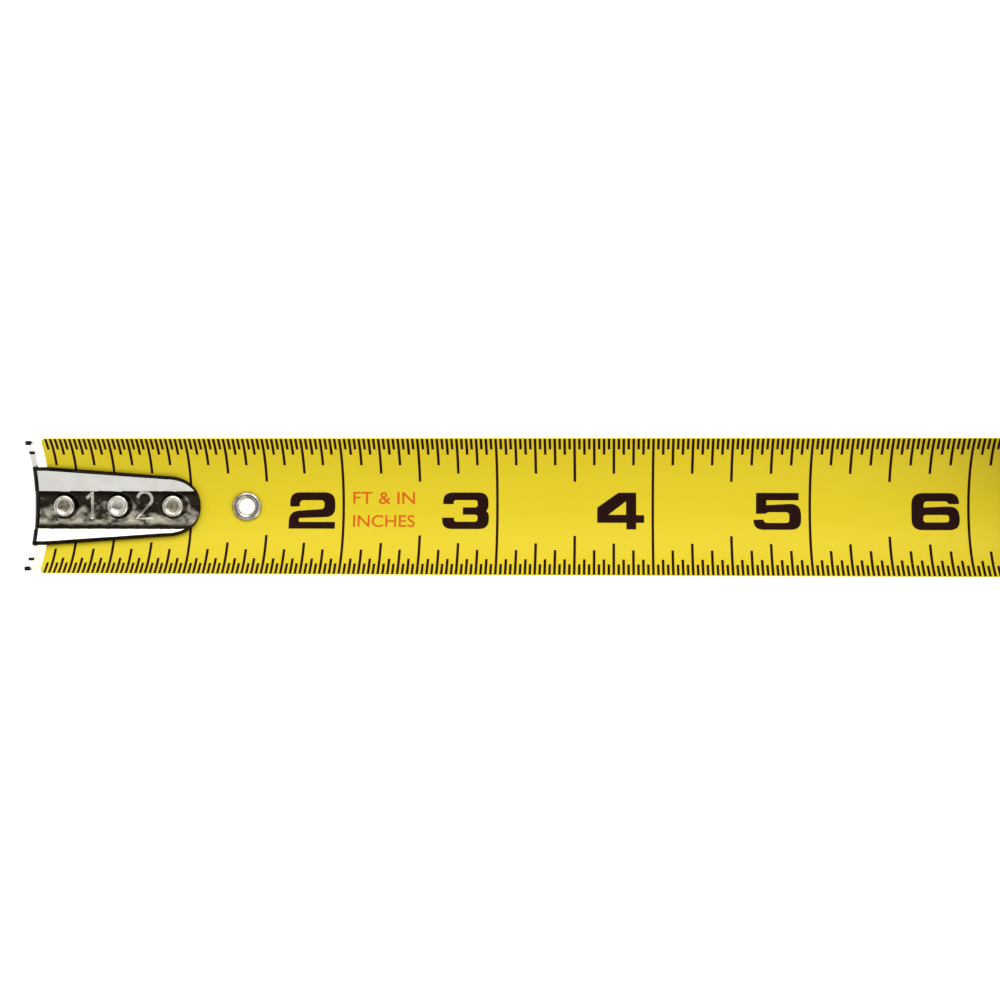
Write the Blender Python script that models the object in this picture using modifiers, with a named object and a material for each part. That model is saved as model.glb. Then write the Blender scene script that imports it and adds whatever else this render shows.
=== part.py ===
"""A pocket tape measure with a 25 ft by 1 in blade, 165 mm of it drawn out and locked.

Metres, +Z up. The blade leaves the case towards -X with its printed, cupped side up.
The origin is the middle of the case's base. The user holds it with the hook pointing away,
so the -Y half of the case is the left one and the belt clip is on the right.
"""

import math

import bmesh
import bpy
from mathutils import Matrix, Vector

MM = 0.001
INCH = 25.4 * MM
GAP = 0.3 * MM  # between pieces that rest on each other

# Blade
BLADE_WIDTH = 25.4 * MM  # along the cupped section
BLADE_THICKNESS = 0.2 * MM
BLADE_LEVEL = 9.0 * MM  # top face of the blade at its middle, above the base
CUP_RADIUS = 13.5 * MM  # top face of the cupped section
BLADE_START = 1.5 * MM  # from the zero of the scale to the blade's end
BLADE_CORNER = 1.2 * MM
TIP_LENGTH = 2 * INCH  # stretch that stays cupped and carries the hook
SEAM_GAP = 0.3 * MM
SPAN_END_SLOPE = math.radians(12)  # where the blade meets the coil
TRAVEL = 165 * MM

# Coil, drum and spring
BLADE_LENGTH = 25 * 12 * INCH
WINDING_PITCH = 0.17 * MM
BARREL_INNER_RADIUS = 13.9 * MM
BARREL_WALL = 1.1 * MM
COIL_SIDE_GAP = 0.25 * MM
FLANGE_THICKNESS = 1.05 * MM
FLANGE_LIP = 1.4 * MM  # flange beyond the coil
FLANGE_WINDOWS = 5
FLANGE_WINDOW_RADIUS = 3.2 * MM
COIL_CLEARANCE = 1.0 * MM  # coil above the edges of the cupped blade
POST_RADIUS = 4.0 * MM
POST_RUNNING_GAP = 0.5 * MM
POST_COLLAR_WALL = 2.0 * MM
WASHER_RADIUS = 7.0 * MM
WASHER_THICKNESS = 0.4 * MM
SPRING_THICKNESS = 0.25 * MM
SPRING_TURNS = 6
SPRING_SIDE_GAP = 0.6 * MM

# Case
WALL = 2.2 * MM
SIDE_ROOM = 1.8 * MM  # between a drum flange and the case's side
FRONT_ROOM = 14.5 * MM  # in front of the drum, for the lock
BACK_ROOM = 5.5 * MM
TOP_ROOM = 4.0 * MM
LOCK_ROOM = 5.4 * MM  # between the drum and the sloping wall under the thumb
SLOPE_ANGLE = math.radians(53.7)
RIM_RADIUS = 3.5 * MM
TOE_RADIUS = 5 * MM
HEEL_RADIUS = 12 * MM
BACK_RADIUS = 24 * MM
CROWN_RADIUS = 16 * MM
BROW_RADIUS = 10 * MM
HALVES_GAP = 0.3 * MM
MOUTH_LOW = 5.5 * MM
MOUTH_HEADROOM = 2.0 * MM  # above the blade's edges
MOUTH_SIDE_ROOM = 2.2 * MM

# Case screws: angle about the drum's axis, and distance beyond the drum's flange
SCREW_PLACES = ((124, 3.9 * MM), (45, 5.7 * MM), (-50.5, 15.8 * MM), (215, 6.2 * MM))
SCREW_RADIUS = 1.25 * MM
SCREW_HEAD_RADIUS = 2.5 * MM
SCREW_CROWN_RADIUS = 2.0 * MM
SCREW_HEAD_RECESS = 0.4 * MM
SCREW_SOCKET_RADIUS = 1.3 * MM
SCREW_SOCKET_DEPTH = 0.9 * MM
SCREW_REACH = 9.0 * MM  # past the joint between the halves
BOSS_WALL = 1.65 * MM

# Hook, rivets and eyelet
HOOK_THICKNESS = 1.0 * MM
HOOK_OUTER = -0.6 * MM  # hook's outer face from zero, in the middle of its play
HOOK_PLAY = 0.5 * MM
HOOK_SIDE_REACH = 0.3 * MM  # hook beyond the blade's edges
HOOK_FLOOR_GAP = 1.0 * MM
HOOK_CORNER = 2.5 * MM
TONGUE_THICKNESS = 0.8 * MM
TONGUE_LENGTH = 26.7 * MM
TONGUE_ROOT_WIDTH = 12.9 * MM
TONGUE_TAPER_START = 3.8 * MM
TONGUE_END_WIDTH = 9.3 * MM
TONGUE_NOSE = 5.7 * MM
NOSE_FULLNESS = 2.2  # how square the rounded nose is: 2 is an ellipse
RIVET_FIRST = 4.5 * MM
RIVET_PITCH = 8.95 * MM
RIVET_COUNT = 3
RIVET_RADIUS = 0.85 * MM
RIVET_HEAD_RADIUS = 1.75 * MM
RIVET_HEAD_HEIGHT = 0.5 * MM
RIVET_CROWN_RADIUS = 1.3 * MM
RIVET_TAIL_RADIUS = 1.5 * MM
RIVET_TAIL_HEIGHT = 0.4 * MM
RIVET_CLEARANCE = 0.25 * MM
EYELET_PLACE = 34.9 * MM
EYELET_BORE = 1.5 * MM
EYELET_WALL = 0.3 * MM
EYELET_FLANGE_RADIUS = 2.55 * MM
EYELET_FLANGE_THICKNESS = 0.3 * MM
EYELET_BACK_RADIUS = 2.3 * MM

# Lock
LOCK_TRAVEL = 9.0 * MM
LOCK_FROM_BROW = 14.7 * MM  # middle of the thumb pad, along the slope
PAD_LENGTH = 20 * MM
PAD_WIDTH = 18 * MM
PAD_HEIGHT = 3.6 * MM
PAD_RIDGES = 4
NECK_LENGTH = 8.0 * MM
NECK_WIDTH = 8.4 * MM
INNER_FLANGE_LENGTH = 12 * MM
INNER_FLANGE_WIDTH = 13 * MM
INNER_FLANGE_THICKNESS = 1.5 * MM
SLIDE_GAP = 0.5 * MM
STRAP_THICKNESS = 2.0 * MM
STRAP_WIDTH = 12 * MM
STRAP_WALL_GAP = 1.2 * MM
SHOE_HALF_WIDTH = 10.2 * MM
SHOE_FOOT_INNER = 7.4 * MM
SHOE_LENGTH = 4.0 * MM
SHOE_TOP = 11.0 * MM  # above the blade's middle
SHOE_ARCH = 7.8 * MM
SHOE_GAP = 0.35 * MM

# Front fittings
BUMPER_THICKNESS = 1.5 * MM
BUMPER_WIDTH = 21 * MM
BUMPER_LOW = 0.8 * MM
BUMPER_REST_GAP = 0.7 * MM  # left between the hook and the bumper when wound in
GUIDE_LENGTH = 8.0 * MM
GUIDE_SHOULDER = 3.0 * MM  # above the blade's middle
GUIDE_GAP = 0.4 * MM
GUIDE_GROOVE_HALF = 3.0 * MM
GUIDE_GROOVE_DEPTH = 1.5 * MM

# Rubber grips and badge
GRIP_THICKNESS = 1.3 * MM
GRIP_RING = 9.0 * MM
GRIP_BOTTOM = 13 * MM
GRIP_HOLE_RADIUS = 3.1 * MM
BADGE_RADIUS = 16 * MM
BADGE_THICKNESS = 0.7 * MM
BADGE_RECESS = 0.8 * MM

# Belt clip
CLIP_WIDTH = 20 * MM
CLIP_THICKNESS = 1.2 * MM
CLIP_BEND_RADIUS = 3.1 * MM
CLIP_TOP = 60 * MM
CLIP_MOUNT_LENGTH = 18 * MM
CLIP_ARM_STRAIGHT = 32 * MM  # below the bend
CLIP_ARM_PINCH = 37.2 * MM  # where the arm comes nearest the case
CLIP_ARM_LENGTH = 42.4 * MM
CLIP_LIP = 2.2 * MM
CLIP_CORNER = 3.0 * MM
CLIP_SCREW_DROP = 9.5 * MM  # below the bend
CLIP_SCREW_RADIUS = 1.6 * MM
CLIP_SCREW_HEAD_RADIUS = 3.6 * MM
CLIP_SCREW_CROWN_RADIUS = 2.2 * MM
CLIP_SCREW_HEAD_HEIGHT = 1.3 * MM

# Worked out from the sizes above
CUP_HALF_ANGLE = BLADE_WIDTH / 2 / CUP_RADIUS
CUP_HALF_CHORD = CUP_RADIUS * math.sin(CUP_HALF_ANGLE)
CUP_CENTRE_Z = BLADE_LEVEL + CUP_RADIUS
BLADE_EDGE_Z = CUP_CENTRE_Z - CUP_RADIUS * math.cos(CUP_HALF_ANGLE)
BARREL_RADIUS = BARREL_INNER_RADIUS + BARREL_WALL
COIL_INNER_RADIUS = BARREL_RADIUS + GAP
COIL_RADIUS = math.sqrt(COIL_INNER_RADIUS**2 + BLADE_LENGTH * WINDING_PITCH / math.pi)
FLANGE_RADIUS = COIL_RADIUS + FLANGE_LIP
FLANGE_INNER_Y = BLADE_WIDTH / 2 + COIL_SIDE_GAP
FLANGE_OUTER_Y = FLANGE_INNER_Y + FLANGE_THICKNESS
AXIS = Vector(((FRONT_ROOM - BACK_ROOM) / 2, BLADE_EDGE_Z + COIL_CLEARANCE + COIL_RADIUS))
CASE_HALF_LENGTH = FLANGE_RADIUS + (FRONT_ROOM + BACK_ROOM) / 2 + WALL
CASE_HEIGHT = AXIS.y + FLANGE_RADIUS + TOP_ROOM + WALL
CASE_HALF_WIDTH = FLANGE_OUTER_Y + SIDE_ROOM + WALL
INNER_HALF_WIDTH = CASE_HALF_WIDTH - WALL
DOWN_SLOPE = Vector((-math.cos(SLOPE_ANGLE), -math.sin(SLOPE_ANGLE)))
SLOPE_NORMAL = Vector((-math.sin(SLOPE_ANGLE), math.cos(SLOPE_ANGLE)))
SLOPE_FOOT = AXIS + (FLANGE_RADIUS + LOCK_ROOM + WALL) * SLOPE_NORMAL
CROWN = SLOPE_FOOT + (SLOPE_FOOT.y - CASE_HEIGHT) / math.sin(SLOPE_ANGLE) * DOWN_SLOPE
BROW = SLOPE_FOOT + (SLOPE_FOOT.x + CASE_HALF_LENGTH) / math.cos(SLOPE_ANGLE) * DOWN_SLOPE
LOCK_S = (BROW - CROWN).length - LOCK_FROM_BROW
BUMPER_X = -CASE_HALF_LENGTH - BUMPER_THICKNESS
ZERO_X = BUMPER_X - BUMPER_REST_GAP - (HOOK_OUTER + HOOK_THICKNESS) - TRAVEL
CLIP_X = AXIS.x

CASE_CORNERS = (
    (Vector((-CASE_HALF_LENGTH, 0)), TOE_RADIUS),
    (Vector((CASE_HALF_LENGTH, 0)), HEEL_RADIUS),
    (Vector((CASE_HALF_LENGTH, CASE_HEIGHT)), BACK_RADIUS),
    (CROWN, CROWN_RADIUS),
    (BROW, BROW_RADIUS),
)
ARC_STEP = math.radians(15)
SMALLEST_CORNER = 0.2 * MM
RIM_STEPS = 3
ROUND_STEPS = 24
SMALL_STEPS = 16
THROUGH = 5 * MM  # a cutter's reach past what it cuts

# Local axes of an outline or a turned profile: where its own x, y and z point
TURN = {
    "X": Matrix(((0, 0, 1), (1, 0, 0), (0, 1, 0))).to_4x4(),
    "Y": Matrix(((1, 0, 0), (0, 0, -1), (0, 1, 0))).to_4x4(),
    "Z": Matrix.Identity(4),
}
AXIS_VECTOR = {"X": Vector((1, 0, 0)), "Y": Vector((0, 1, 0)), "Z": Vector((0, 0, 1))}


# ---------------------------------------------------------------- scene and materials


def clear_scene():
    for obj in list(bpy.data.objects):
        bpy.data.objects.remove(obj)


def new_collection(name):
    collection = bpy.data.collections.new(name)
    bpy.context.scene.collection.children.link(collection)
    return collection


def new_material(name, colour, roughness, metallic=0.0):
    material = bpy.data.materials.new(name)
    material.use_nodes = True
    shader = material.node_tree.nodes["Principled BSDF"]
    shader.inputs["Base Color"].default_value = (*colour, 1)
    shader.inputs["Roughness"].default_value = roughness
    shader.inputs["Metallic"].default_value = metallic
    return material


clear_scene()
PARTS = new_collection("tape_measure")
CUTTERS = new_collection("cutters")
CASE_PLASTIC = new_material("case_plastic", (0.035, 0.037, 0.04), 0.45)
GRIP_RUBBER = new_material("grip_rubber", (0.02, 0.02, 0.02), 0.8)
BLADE_PAINT = new_material("blade_paint", (0.8, 0.62, 0.03), 0.4)
HOOK_STEEL = new_material("hook_steel", (0.62, 0.61, 0.58), 0.25, 1.0)
SPRING_STEEL = new_material("spring_steel", (0.3, 0.33, 0.38), 0.35, 1.0)
DRUM_PLASTIC = new_material("drum_plastic", (0.75, 0.74, 0.7), 0.5)
LOCK_PLASTIC = new_material("lock_plastic", (0.5, 0.06, 0.02), 0.35)
WASHER_PLASTIC = new_material("washer_plastic", (0.8, 0.79, 0.74), 0.3)
CLIP_STEEL = new_material("clip_steel", (0.5, 0.5, 0.49), 0.35, 1.0)
SCREW_STEEL = new_material("screw_steel", (0.12, 0.12, 0.13), 0.35, 1.0)
BADGE_METAL = new_material("badge_metal", (0.6, 0.6, 0.6), 0.35, 1.0)


# ---------------------------------------------------------------- outlines


def outward(a, b):
    """The outward normal of the stretch from a to b of an anticlockwise outline."""
    along = (b - a).normalized()
    return Vector((along.y, -along.x))


def offset_corners(corners, distance):
    """A convex outline moved out by distance, its corner radii growing with it."""
    moved = []
    for i, (point, radius) in enumerate(corners):
        first = outward(corners[i - 1][0], point)
        second = outward(point, corners[(i + 1) % len(corners)][0])
        shift = (first + second) * distance / (1 + first.dot(second))
        moved.append((point + shift, max(radius + distance, SMALLEST_CORNER)))
    return moved


def round_corners(corners):
    """The outline's points, each corner an arc of its radius."""
    points = []
    for i, (point, radius) in enumerate(corners):
        first = outward(corners[i - 1][0], point)
        second = outward(point, corners[(i + 1) % len(corners)][0])
        turn = first.angle(second)
        centre = point - (first + second) * radius / (1 + first.dot(second))
        steps = max(1, round(turn / ARC_STEP))
        for k in range(steps + 1):
            points.append(centre + radius * (Matrix.Rotation(turn * k / steps, 2) @ first))
    return points


def rectangle(low, high, radius=0.0):
    corners = [
        Vector(low),
        Vector((high[0], low[1])),
        Vector(high),
        Vector((low[0], high[1])),
    ]
    if radius == 0:
        return corners
    return round_corners([(corner, radius) for corner in corners])


def arc(centre, radius, start, end, steps):
    """Points of an arc from the angle start to the angle end, in degrees."""
    angles = [math.radians(start + (end - start) * k / steps) for k in range(steps + 1)]
    return [Vector(centre) + radius * Vector((math.cos(a), math.sin(a))) for a in angles]


def strap_outline(path, thickness):
    """The outline of a bent strip: its centre line moved half its thickness to each side."""
    sides = ([], [])
    for i, point in enumerate(path):
        normals = [
            outward(path[k], path[k + 1]) for k in (i - 1, i) if 0 <= k < len(path) - 1
        ]
        shift = (normals[0] + normals[-1]) / (1 + normals[0].dot(normals[-1]))
        sides[0].append(point + shift * thickness / 2)
        sides[1].append(point - shift * thickness / 2)
    return sides[0] + sides[1][::-1]


# ---------------------------------------------------------------- making objects


def add_object(name, mesh, material=None):
    """An object in the parts collection, or in the cutters' when it has no material."""
    obj = bpy.data.objects.new(name, mesh)
    if material is None:
        CUTTERS.objects.link(obj)
        obj.hide_render = True
        obj.display_type = "WIRE"
    else:
        PARTS.objects.link(obj)
        mesh.materials.append(material)
    return obj


def mesh_from(bm, name):
    bm.normal_update()
    bmesh.ops.recalc_face_normals(bm, faces=bm.faces)
    mesh = bpy.data.meshes.new(name)
    bm.to_mesh(mesh)
    bm.free()
    return mesh


def curve_to_bmesh(curve):
    """The filled curve as one welded mesh with flat caps."""
    helper = bpy.data.objects.new(curve.name, curve)
    CUTTERS.objects.link(helper)
    graph = bpy.context.evaluated_depsgraph_get()
    mesh = bpy.data.meshes.new_from_object(helper.evaluated_get(graph))
    bpy.data.objects.remove(helper)
    bm = bmesh.new()
    bm.from_mesh(mesh)
    bmesh.ops.remove_doubles(bm, verts=bm.verts, dist=0.001 * MM)
    bmesh.ops.dissolve_limit(bm, angle_limit=0.001, verts=bm.verts, edges=bm.edges)
    return bm


def extruded(name, outline, axis, start, end, material=None):
    """A flat outline extruded along an axis from start to end."""
    curve = bpy.data.curves.new(name, "CURVE")
    curve.dimensions = "2D"
    curve.fill_mode = "BOTH"
    curve.extrude = abs(end - start) / 2
    spline = curve.splines.new("POLY")
    spline.points.add(len(outline) - 1)
    for target, point in zip(spline.points, outline):
        target.co = (point[0], point[1], 0, 1)
    spline.use_cyclic_u = True
    bm = curve_to_bmesh(curve)
    bm.transform(Matrix.Translation(AXIS_VECTOR[axis] * (start + end) / 2) @ TURN[axis])
    return add_object(name, mesh_from(bm, name), material)


def box(name, low, high, material=None, bevel=0.0):
    size = Vector(high) - Vector(low)
    bm = bmesh.new()
    bmesh.ops.create_cube(bm, size=1)
    bmesh.ops.scale(bm, vec=size, verts=bm.verts)
    bmesh.ops.translate(bm, vec=(Vector(high) + Vector(low)) / 2, verts=bm.verts)
    if bevel:
        bmesh.ops.bevel(
            bm, geom=bm.edges[:], offset=bevel, segments=2, profile=0.5, affect="EDGES"
        )
    return add_object(name, mesh_from(bm, name), material)


def cylinder(name, radius, axis, start, end, centre, material=None, steps=ROUND_STEPS):
    """A cylinder along an axis; centre is its place in the two other directions' frame."""
    bm = bmesh.new()
    bmesh.ops.create_cone(
        bm,
        cap_ends=True,
        segments=steps,
        radius1=radius,
        radius2=radius,
        depth=abs(end - start),
    )
    bm.transform(Matrix.Translation(placed(axis, centre, (start + end) / 2)) @ TURN[axis])
    return add_object(name, mesh_from(bm, name), material)


def placed(axis, centre, along):
    """The point at centre, in the plane across the axis, and at along on the axis."""
    return {
        "X": Vector((along, centre[0], centre[1])),
        "Y": Vector((centre[0], along, centre[1])),
        "Z": Vector((centre[0], centre[1], along)),
    }[axis]


def turned(name, profile, axis, centre, material=None, steps=ROUND_STEPS, closed=False):
    """A profile of (radius, place along the axis) points turned about the axis."""
    bm = bmesh.new()
    verts = [bm.verts.new((radius, 0, along)) for radius, along in profile]
    for first, second in zip(verts, verts[1:]):
        bm.edges.new((first, second))
    if closed:
        bm.edges.new((verts[-1], verts[0]))
    bmesh.ops.spin(
        bm,
        geom=bm.verts[:] + bm.edges[:],
        cent=(0, 0, 0),
        axis=(0, 0, 1),
        angle=math.tau,
        steps=steps,
        use_merge=True,
    )
    bmesh.ops.remove_doubles(bm, verts=bm.verts, dist=0.001 * MM)
    flip = Matrix.Scale(-1, 4, (0, 0, 1)) if axis == "Y" else Matrix.Identity(4)
    bm.transform(Matrix.Translation(placed(axis, centre, 0)) @ TURN[axis] @ flip)
    return add_object(name, mesh_from(bm, name), material)


def combine(obj, other, operation):
    """Adds an EXACT Boolean with a helper, which is out of the render already."""
    modifier = obj.modifiers.new(other.name, "BOOLEAN")
    modifier.object = other
    modifier.operation = operation
    return obj


def cut(obj, *cutters):
    for cutter in cutters:
        combine(obj, cutter, "DIFFERENCE")
    return obj


def join(obj, *others):
    for other in others:
        combine(obj, other, "UNION")
    return obj


# ---------------------------------------------------------------- blade strips


def strip_section(x, half_width, curvature, z, slope, thickness, across):
    """One cross-section of a cupped strip: its top face left to right, then its bottom face back."""
    ring = []
    for depth, order in ((0, 1), (thickness, -1)):
        for k in list(range(across + 1))[::order]:
            along = half_width * (2 * k / across - 1)
            angle = along * curvature
            if abs(curvature) * half_width < 1e-4:
                side, rise = along, -depth
            else:
                side = (1 / curvature + depth) * math.sin(angle)
                rise = 1 / curvature - (1 / curvature + depth) * math.cos(angle)
            ring.append((x - rise * math.sin(slope), side, z + rise * math.cos(slope)))
    return ring


def loft(name, rings, material=None):
    """A solid through rings of equally many points, with flat ends."""
    bm = bmesh.new()
    rows = [[bm.verts.new(point) for point in ring] for ring in rings]
    for first, second in zip(rows, rows[1:]):
        for k in range(len(first)):
            bm.faces.new((first[k - 1], first[k], second[k], second[k - 1]))
    bm.faces.new(rows[0])
    bm.faces.new(rows[-1])
    return add_object(name, mesh_from(bm, name), material)


def rounded_end_widths(half_width, corner, steps=3):
    """(distance from the end, half width) pairs of a strip's end with rounded corners."""
    angles = [math.pi / 2 * k / steps for k in range(steps + 1)]
    return [
        (corner * (1 - math.sin(a)), half_width - corner * (1 - math.cos(a)))
        for a in reversed(angles)
    ]


def straight_strip(name, stations, curvature, z, thickness, across, material=None):
    rings = [
        strip_section(x, half, curvature, z, 0, thickness, across) for x, half in stations
    ]
    return loft(name, rings, material)


BLADE_ACROSS = 12


def make_blade_tip():
    """The first two inches, with holes for the hook's rivets and for the eyelet."""
    half = BLADE_WIDTH / 2
    start = ZERO_X + BLADE_START
    ends = rounded_end_widths(half, BLADE_CORNER)
    stations = [(start + distance, width) for distance, width in ends]
    stations += [(ZERO_X + TIP_LENGTH - SEAM_GAP / 2, half)]
    tip = straight_strip(
        "blade_tip", stations, 1 / CUP_RADIUS, BLADE_LEVEL, BLADE_THICKNESS, BLADE_ACROSS,
        BLADE_PAINT,
    )
    low, high = BLADE_LEVEL - THROUGH, BLADE_LEVEL + THROUGH
    for k, x in enumerate(rivet_places()):
        hole = RIVET_RADIUS + RIVET_CLEARANCE
        cut(tip, cylinder(f"tip_hole_{k + 1}", hole, "Z", low, high, (x, 0), steps=SMALL_STEPS))
    hole = EYELET_BORE + EYELET_WALL + GAP
    place = (ZERO_X + EYELET_PLACE, 0)
    cut(tip, cylinder("eyelet_hole", hole, "Z", low, high, place, steps=SMALL_STEPS))


def make_blade_span():
    """From the two-inch line into the case, where it flattens and rises to meet the coil."""
    slope_end = SPAN_END_SLOPE
    radius = COIL_RADIUS + GAP
    end = AXIS + radius * Vector((-math.sin(slope_end), -math.cos(slope_end)))
    bend_start = -CASE_HALF_LENGTH + WALL + GUIDE_LENGTH
    run, rise = end.x - bend_start, end.y - BLADE_LEVEL
    stations = [(ZERO_X + TIP_LENGTH + SEAM_GAP / 2, BLADE_LEVEL, 0.0, 1.0)]
    steps = 12
    for k in range(steps + 1):
        t = k / steps
        ease = t * t * (3 - 2 * t)
        height = BLADE_LEVEL + rise * ease + run * math.tan(slope_end) * t * t * (t - 1)
        stations.append((bend_start + run * t, height, slope_end * ease, 1 - ease))
    rings = [
        strip_section(
            x, BLADE_WIDTH / 2, cup / CUP_RADIUS, z, slope, BLADE_THICKNESS, BLADE_ACROSS
        )
        for x, z, slope, cup in stations
    ]
    loft("blade_span", rings, BLADE_PAINT)


def rivet_places():
    return [ZERO_X + RIVET_FIRST + RIVET_PITCH * k for k in range(RIVET_COUNT)]


# ---------------------------------------------------------------- hook, rivets, eyelet


def tongue_half_width(distance):
    """Half the tongue's width at a distance from zero: nearly straight, tapered, then a round nose."""
    nose_start = TONGUE_LENGTH - TONGUE_NOSE
    root, end = TONGUE_ROOT_WIDTH / 2, TONGUE_END_WIDTH / 2
    if distance <= TONGUE_TAPER_START:
        return root
    if distance <= nose_start:
        share = (distance - TONGUE_TAPER_START) / (nose_start - TONGUE_TAPER_START)
        return root + (end - root) * share
    share = (distance - nose_start) / TONGUE_NOSE
    return end * (1 - share**NOSE_FULLNESS) ** (1 / NOSE_FULLNESS)


def hook_plate_outline():
    """The hook's upright seen along the blade: ears at the blade's edges, a cup between them."""
    side = CUP_HALF_CHORD + HOOK_SIDE_REACH
    ear_top = BLADE_EDGE_Z + 0.1 * MM
    cup = CUP_RADIUS - GAP - TONGUE_THICKNESS + 0.1 * MM
    half_angle = math.degrees(math.acos((CUP_CENTRE_Z - ear_top) / cup))
    low = HOOK_FLOOR_GAP
    centre = low + HOOK_CORNER
    points = arc((0, CUP_CENTRE_Z), cup, -90 + half_angle, -90 - half_angle, 12)
    points += [Vector((-side, ear_top))]
    points += arc((-side + HOOK_CORNER, centre), HOOK_CORNER, 180, 270, 4)
    points += arc((side - HOOK_CORNER, centre), HOOK_CORNER, 270, 360, 4)
    points += [Vector((side, ear_top))]
    return points


def make_end_hook():
    outer = ZERO_X + HOOK_OUTER
    hook = extruded(
        "end_hook", hook_plate_outline(), "X", outer, outer + HOOK_THICKNESS, HOOK_STEEL
    )
    distances = [HOOK_OUTER + 0.1 * MM, TONGUE_TAPER_START]
    nose_steps = 6
    for k in range(nose_steps + 1):
        share = math.sin(math.pi / 2 * k / nose_steps) * 0.985
        distances.append(TONGUE_LENGTH - TONGUE_NOSE * (1 - share))
    stations = [(ZERO_X + d, tongue_half_width(d)) for d in distances]
    radius = CUP_RADIUS - GAP - TONGUE_THICKNESS
    top = BLADE_LEVEL + GAP + TONGUE_THICKNESS
    tongue = straight_strip("hook_tongue", stations, 1 / radius, top, TONGUE_THICKNESS, 8)
    join(hook, tongue)
    half = RIVET_RADIUS + RIVET_CLEARANCE
    for k, x in enumerate(rivet_places()):
        slot = rectangle(
            (x - half - HOOK_PLAY, -half), (x + half + HOOK_PLAY, half), half * 0.99
        )
        low, high = BLADE_LEVEL - THROUGH, BLADE_LEVEL + THROUGH
        cut(hook, extruded(f"hook_slot_{k + 1}", slot, "Z", low, high))


def make_rivets():
    """Each head clears the cupped tongue at its rim, and the lower head clears the blade."""
    tongue_top = BLADE_LEVEL + GAP + TONGUE_THICKNESS
    rim_rise = RIVET_HEAD_RADIUS**2 / 2 / (CUP_RADIUS - TONGUE_THICKNESS)
    seat = tongue_top + rim_rise + 0.15 * MM
    top = seat + RIVET_HEAD_HEIGHT
    under = BLADE_LEVEL - BLADE_THICKNESS - GAP
    bottom = under - RIVET_TAIL_HEIGHT
    profile = [
        (0, top),
        (RIVET_CROWN_RADIUS, top),
        (RIVET_HEAD_RADIUS, top - RIVET_HEAD_HEIGHT / 2),
        (RIVET_HEAD_RADIUS, seat),
        (RIVET_RADIUS, seat),
        (RIVET_RADIUS, under),
        (RIVET_TAIL_RADIUS, under),
        (RIVET_TAIL_RADIUS, bottom),
        (0, bottom),
    ]
    for k, x in enumerate(rivet_places()):
        turned(f"hook_rivet_{k + 1}", profile, "Z", (x, 0), HOOK_STEEL, SMALL_STEPS)


def make_eyelet():
    outer = EYELET_BORE + EYELET_WALL
    rim_rise = EYELET_FLANGE_RADIUS**2 / 2 / CUP_RADIUS
    seat = BLADE_LEVEL + rim_rise + 0.1 * MM
    top = seat + EYELET_FLANGE_THICKNESS
    under = BLADE_LEVEL - BLADE_THICKNESS - GAP
    profile = [
        (EYELET_BORE, top),
        (EYELET_FLANGE_RADIUS, top),
        (EYELET_FLANGE_RADIUS, seat),
        (outer, seat),
        (outer, under),
        (EYELET_BACK_RADIUS, under),
        (EYELET_BACK_RADIUS, under - EYELET_FLANGE_THICKNESS),
        (EYELET_BORE, under - EYELET_FLANGE_THICKNESS),
    ]
    place = (ZERO_X + EYELET_PLACE, 0)
    turned("eyelet", profile, "Z", place, HOOK_STEEL, SMALL_STEPS, closed=True)


# ---------------------------------------------------------------- drum, coil, spring, post


def flange_windows(name, low, high):
    middle = (BARREL_RADIUS + COIL_RADIUS) / 2
    for k in range(FLANGE_WINDOWS):
        angle = math.tau * k / FLANGE_WINDOWS
        centre = AXIS + middle * Vector((math.cos(angle), math.sin(angle)))
        yield cylinder(
            f"{name}_window_{k + 1}", FLANGE_WINDOW_RADIUS, "Y", low, high, centre, steps=12
        )


def make_drum():
    bore = POST_RADIUS + POST_RUNNING_GAP
    inner, outer = -FLANGE_INNER_Y, -FLANGE_OUTER_Y
    far = FLANGE_INNER_Y - GAP
    profile = [
        (bore, outer),
        (FLANGE_RADIUS, outer),
        (FLANGE_RADIUS, inner),
        (BARREL_RADIUS, inner),
        (BARREL_RADIUS, far),
        (BARREL_INNER_RADIUS, far),
        (BARREL_INNER_RADIUS, inner),
        (bore, inner),
    ]
    drum = turned("drum", profile, "Y", AXIS, DRUM_PLASTIC, 48, closed=True)
    cut(drum, *flange_windows("drum", outer - THROUGH, inner + 0.2 * MM))
    profile = [
        (bore, -inner),
        (FLANGE_RADIUS, -inner),
        (FLANGE_RADIUS, -outer),
        (bore, -outer),
    ]
    cover = turned("drum_cover", profile, "Y", AXIS, DRUM_PLASTIC, 48, closed=True)
    cut(cover, *flange_windows("cover", -inner - THROUGH, -outer + THROUGH))


def make_coil():
    half = BLADE_WIDTH / 2
    profile = [
        (COIL_INNER_RADIUS, half),
        (COIL_RADIUS, half),
        (COIL_RADIUS, -half),
        (COIL_INNER_RADIUS, -half),
    ]
    turned("blade_coil", profile, "Y", AXIS, BLADE_PAINT, 64, closed=True)


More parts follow.
